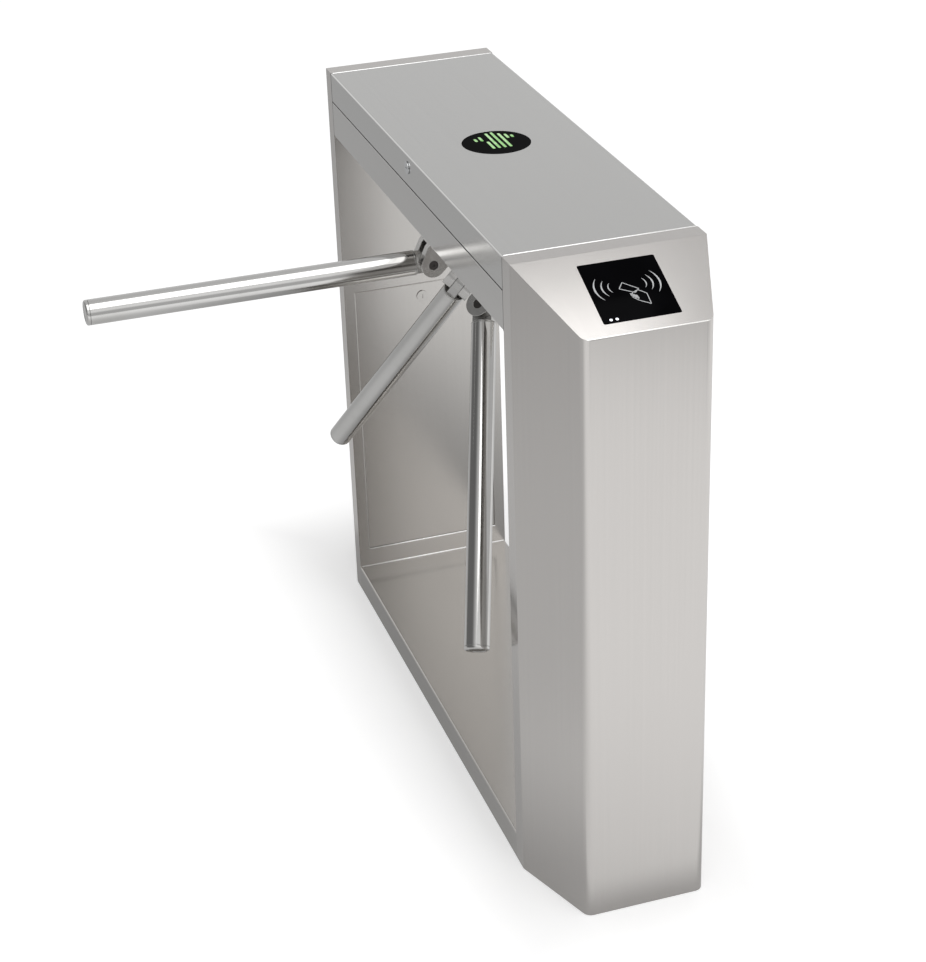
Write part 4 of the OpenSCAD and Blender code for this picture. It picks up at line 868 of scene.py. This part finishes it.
# Control board
# The green board in the beam on four posts, with relays, chips, capacitors and a row of plugs.
board_x0, board_x1, board_y, board_top, board_t = 0.260, 0.410, 0.055, 0.8831, 0.0016
board = bricks(bmesh.new(), ((board_x0, -board_y, board_top - board_t), (board_x1, board_y, board_top)))
settle(board, "circuit_board", "cabinet", "board_green", laminate, "control_board")


def mounted(bm, x, y, long, wide, tall):
    """A block that stands on the board, from its nearest corner."""
    bricks(bm, ((x, y, board_top), (x + long, y + wide, board_top + tall)))


posts, parts, plugs, cans = bmesh.new(), bmesh.new(), bmesh.new(), bmesh.new()
beam_floor, post_r, post_inset_x, post_y = 0.8735, 0.003, 0.006, 0.049
for x in (board_x0 + post_inset_x, board_x1 - post_inset_x):
    for y in (-post_y, post_y):
        turned(posts, [(0, beam_floor), (post_r, beam_floor), (post_r, board_top + 0.002), (0, board_top + 0.002)],
               Matrix.Translation((x, y, 0)), 24, closed=False)
for relay in range(4):
    mounted(parts, 0.2875, -0.027 + relay * 0.0135, 0.023, 0.012, 0.0118)
mounted(parts, 0.330, -0.010, 0.018, 0.020, 0.002)
mounted(parts, 0.326, 0.024, 0.016, 0.012, 0.0018)
for chip in range(5):
    mounted(parts, 0.322 + chip * 0.009, -0.030, 0.005, 0.006, 0.0014)
for plug in range(9):
    mounted(plugs, 0.3730, -0.036 + plug * 0.0082, 0.0110, 0.0078, 0.0105)
can_r, can_rim_r = 0.004, 0.0034
for x, y in ((0.359, -0.020), (0.359, -0.006), (0.359, 0.012), (0.302, 0.042)):
    turned(cans, [(0, board_top), (can_r, board_top), (can_r, board_top + 0.0098), (can_rim_r, board_top + 0.0104),
                  (0, board_top + 0.0102)], Matrix.Translation((x, y, 0)), 24, closed=False)
eased(settle(posts, "board_posts", "cabinet", "screw_steel", plating), 0.0003)
eased(settle(parts, "board_parts", "cabinet", "damper_black", chip_black), 0.0003)
eased(settle(plugs, "board_plugs", "cabinet", "module_plastic", lamp_white), 0.0003)
eased(settle(cans, "board_capacitors", "cabinet", "supply_alu", pressed), 0.0003)

# Main loom
# Wires in a ribbed sleeve, tied as it goes, from the power supply up the leg and along to the board.
loom_r, loom_x, loom_y, loom_z, loom_low, loom_end, loom_bend = 0.005, 0.531, 0.035, 0.8884, 0.520, 0.385, 0.025
rise_steps, bend_steps, run_steps = 60, 10, 26
sleeve = bmesh.new()
bmesh.ops.create_circle(sleeve, cap_ends=False, radius=loom_r, segments=16,
                        matrix=Matrix.Translation((loom_x, loom_y, loom_low)))
first_ring = sleeve.edges[:]


def carried(bm, edges, step, count):
    """Carries an open ring of edges along a path, one like step after another."""
    for _ in range(count):
        grown = bmesh.ops.extrude_edge_only(bm, edges=edges)
        bmesh.ops.transform(bm, matrix=step, verts=new_points(grown), space=Matrix())
        edges = [e for e in grown["geom"] if isinstance(e, bmesh.types.BMEdge)]
    return edges


elbow = Matrix.Translation((loom_x - loom_bend, loom_y, loom_z - loom_bend))
upward_step = Matrix.Translation((0, 0, (loom_z - loom_bend - loom_low) / rise_steps))
bend_step = elbow @ Matrix.Rotation(-math.pi / 2 / bend_steps, 4, "Y") @ elbow.inverted()
level_step = Matrix.Translation((-(loom_x - loom_bend - loom_end) / run_steps, 0, 0))
ring = carried(sleeve, first_ring, upward_step, rise_steps)
ring = carried(sleeve, ring, bend_step, bend_steps)
ring = carried(sleeve, ring, level_step, run_steps)
bmesh.ops.edgenet_fill(sleeve, edges=first_ring)
bmesh.ops.edgenet_fill(sleeve, edges=ring)
bmesh.ops.recalc_face_normals(sleeve, faces=sleeve.faces)
ribbed, tree, shader = surface("ribbed_sleeve", 0.0)
rib_angle = 2600.0  # radians per metre along the sleeve
place = add(tree, "ShaderNodeTexCoord")
split = add(tree, "ShaderNodeSeparateXYZ")
join(tree, place.outputs["Object"], split.inputs[0])
route = maths(tree, "ADD", split.outputs["X"], split.outputs["Z"])
ribs = maths(tree, "SINE", maths(tree, "MULTIPLY", route, rib_angle))
# Painted shade: the colour darkens in the grooves between the ribs and pales on their crests.
join(tree, blended(tree, stretch(tree, ribs, -1, 1), (0.010, 0.010, 0.011), (0.024, 0.024, 0.026)),
     shader.inputs["Base Color"], stretch(tree, ribs, -1, 1, 0.42, 0.6), shader.inputs["Roughness"])
raised(tree, shader, ribs, 0.0004, 0.6)
settle(sleeve, "sleeved_loom", "cabinet", "loom_black", ribbed, "main_loom")

tie_r, tie_half = loom_r + 0.0008, 0.0018
tied_up = [Matrix.Translation((loom_x, loom_y, z)) for z in (0.56, 0.66, 0.76, 0.84)]
tied_along = [Matrix.Translation((x, loom_y, loom_z)) @ Matrix.Rotation(math.pi / 2, 4, "Y") for x in (0.48, 0.43)]
ties = bmesh.new()
for at in tied_up + tied_along:
    turned(ties, [(loom_r, -tie_half), (tie_r, -tie_half), (tie_r, tie_half), (loom_r, tie_half)], at, 24)
eased(settle(ties, "loom_ties", "cabinet", "module_plastic", lamp_white), 0.0002)
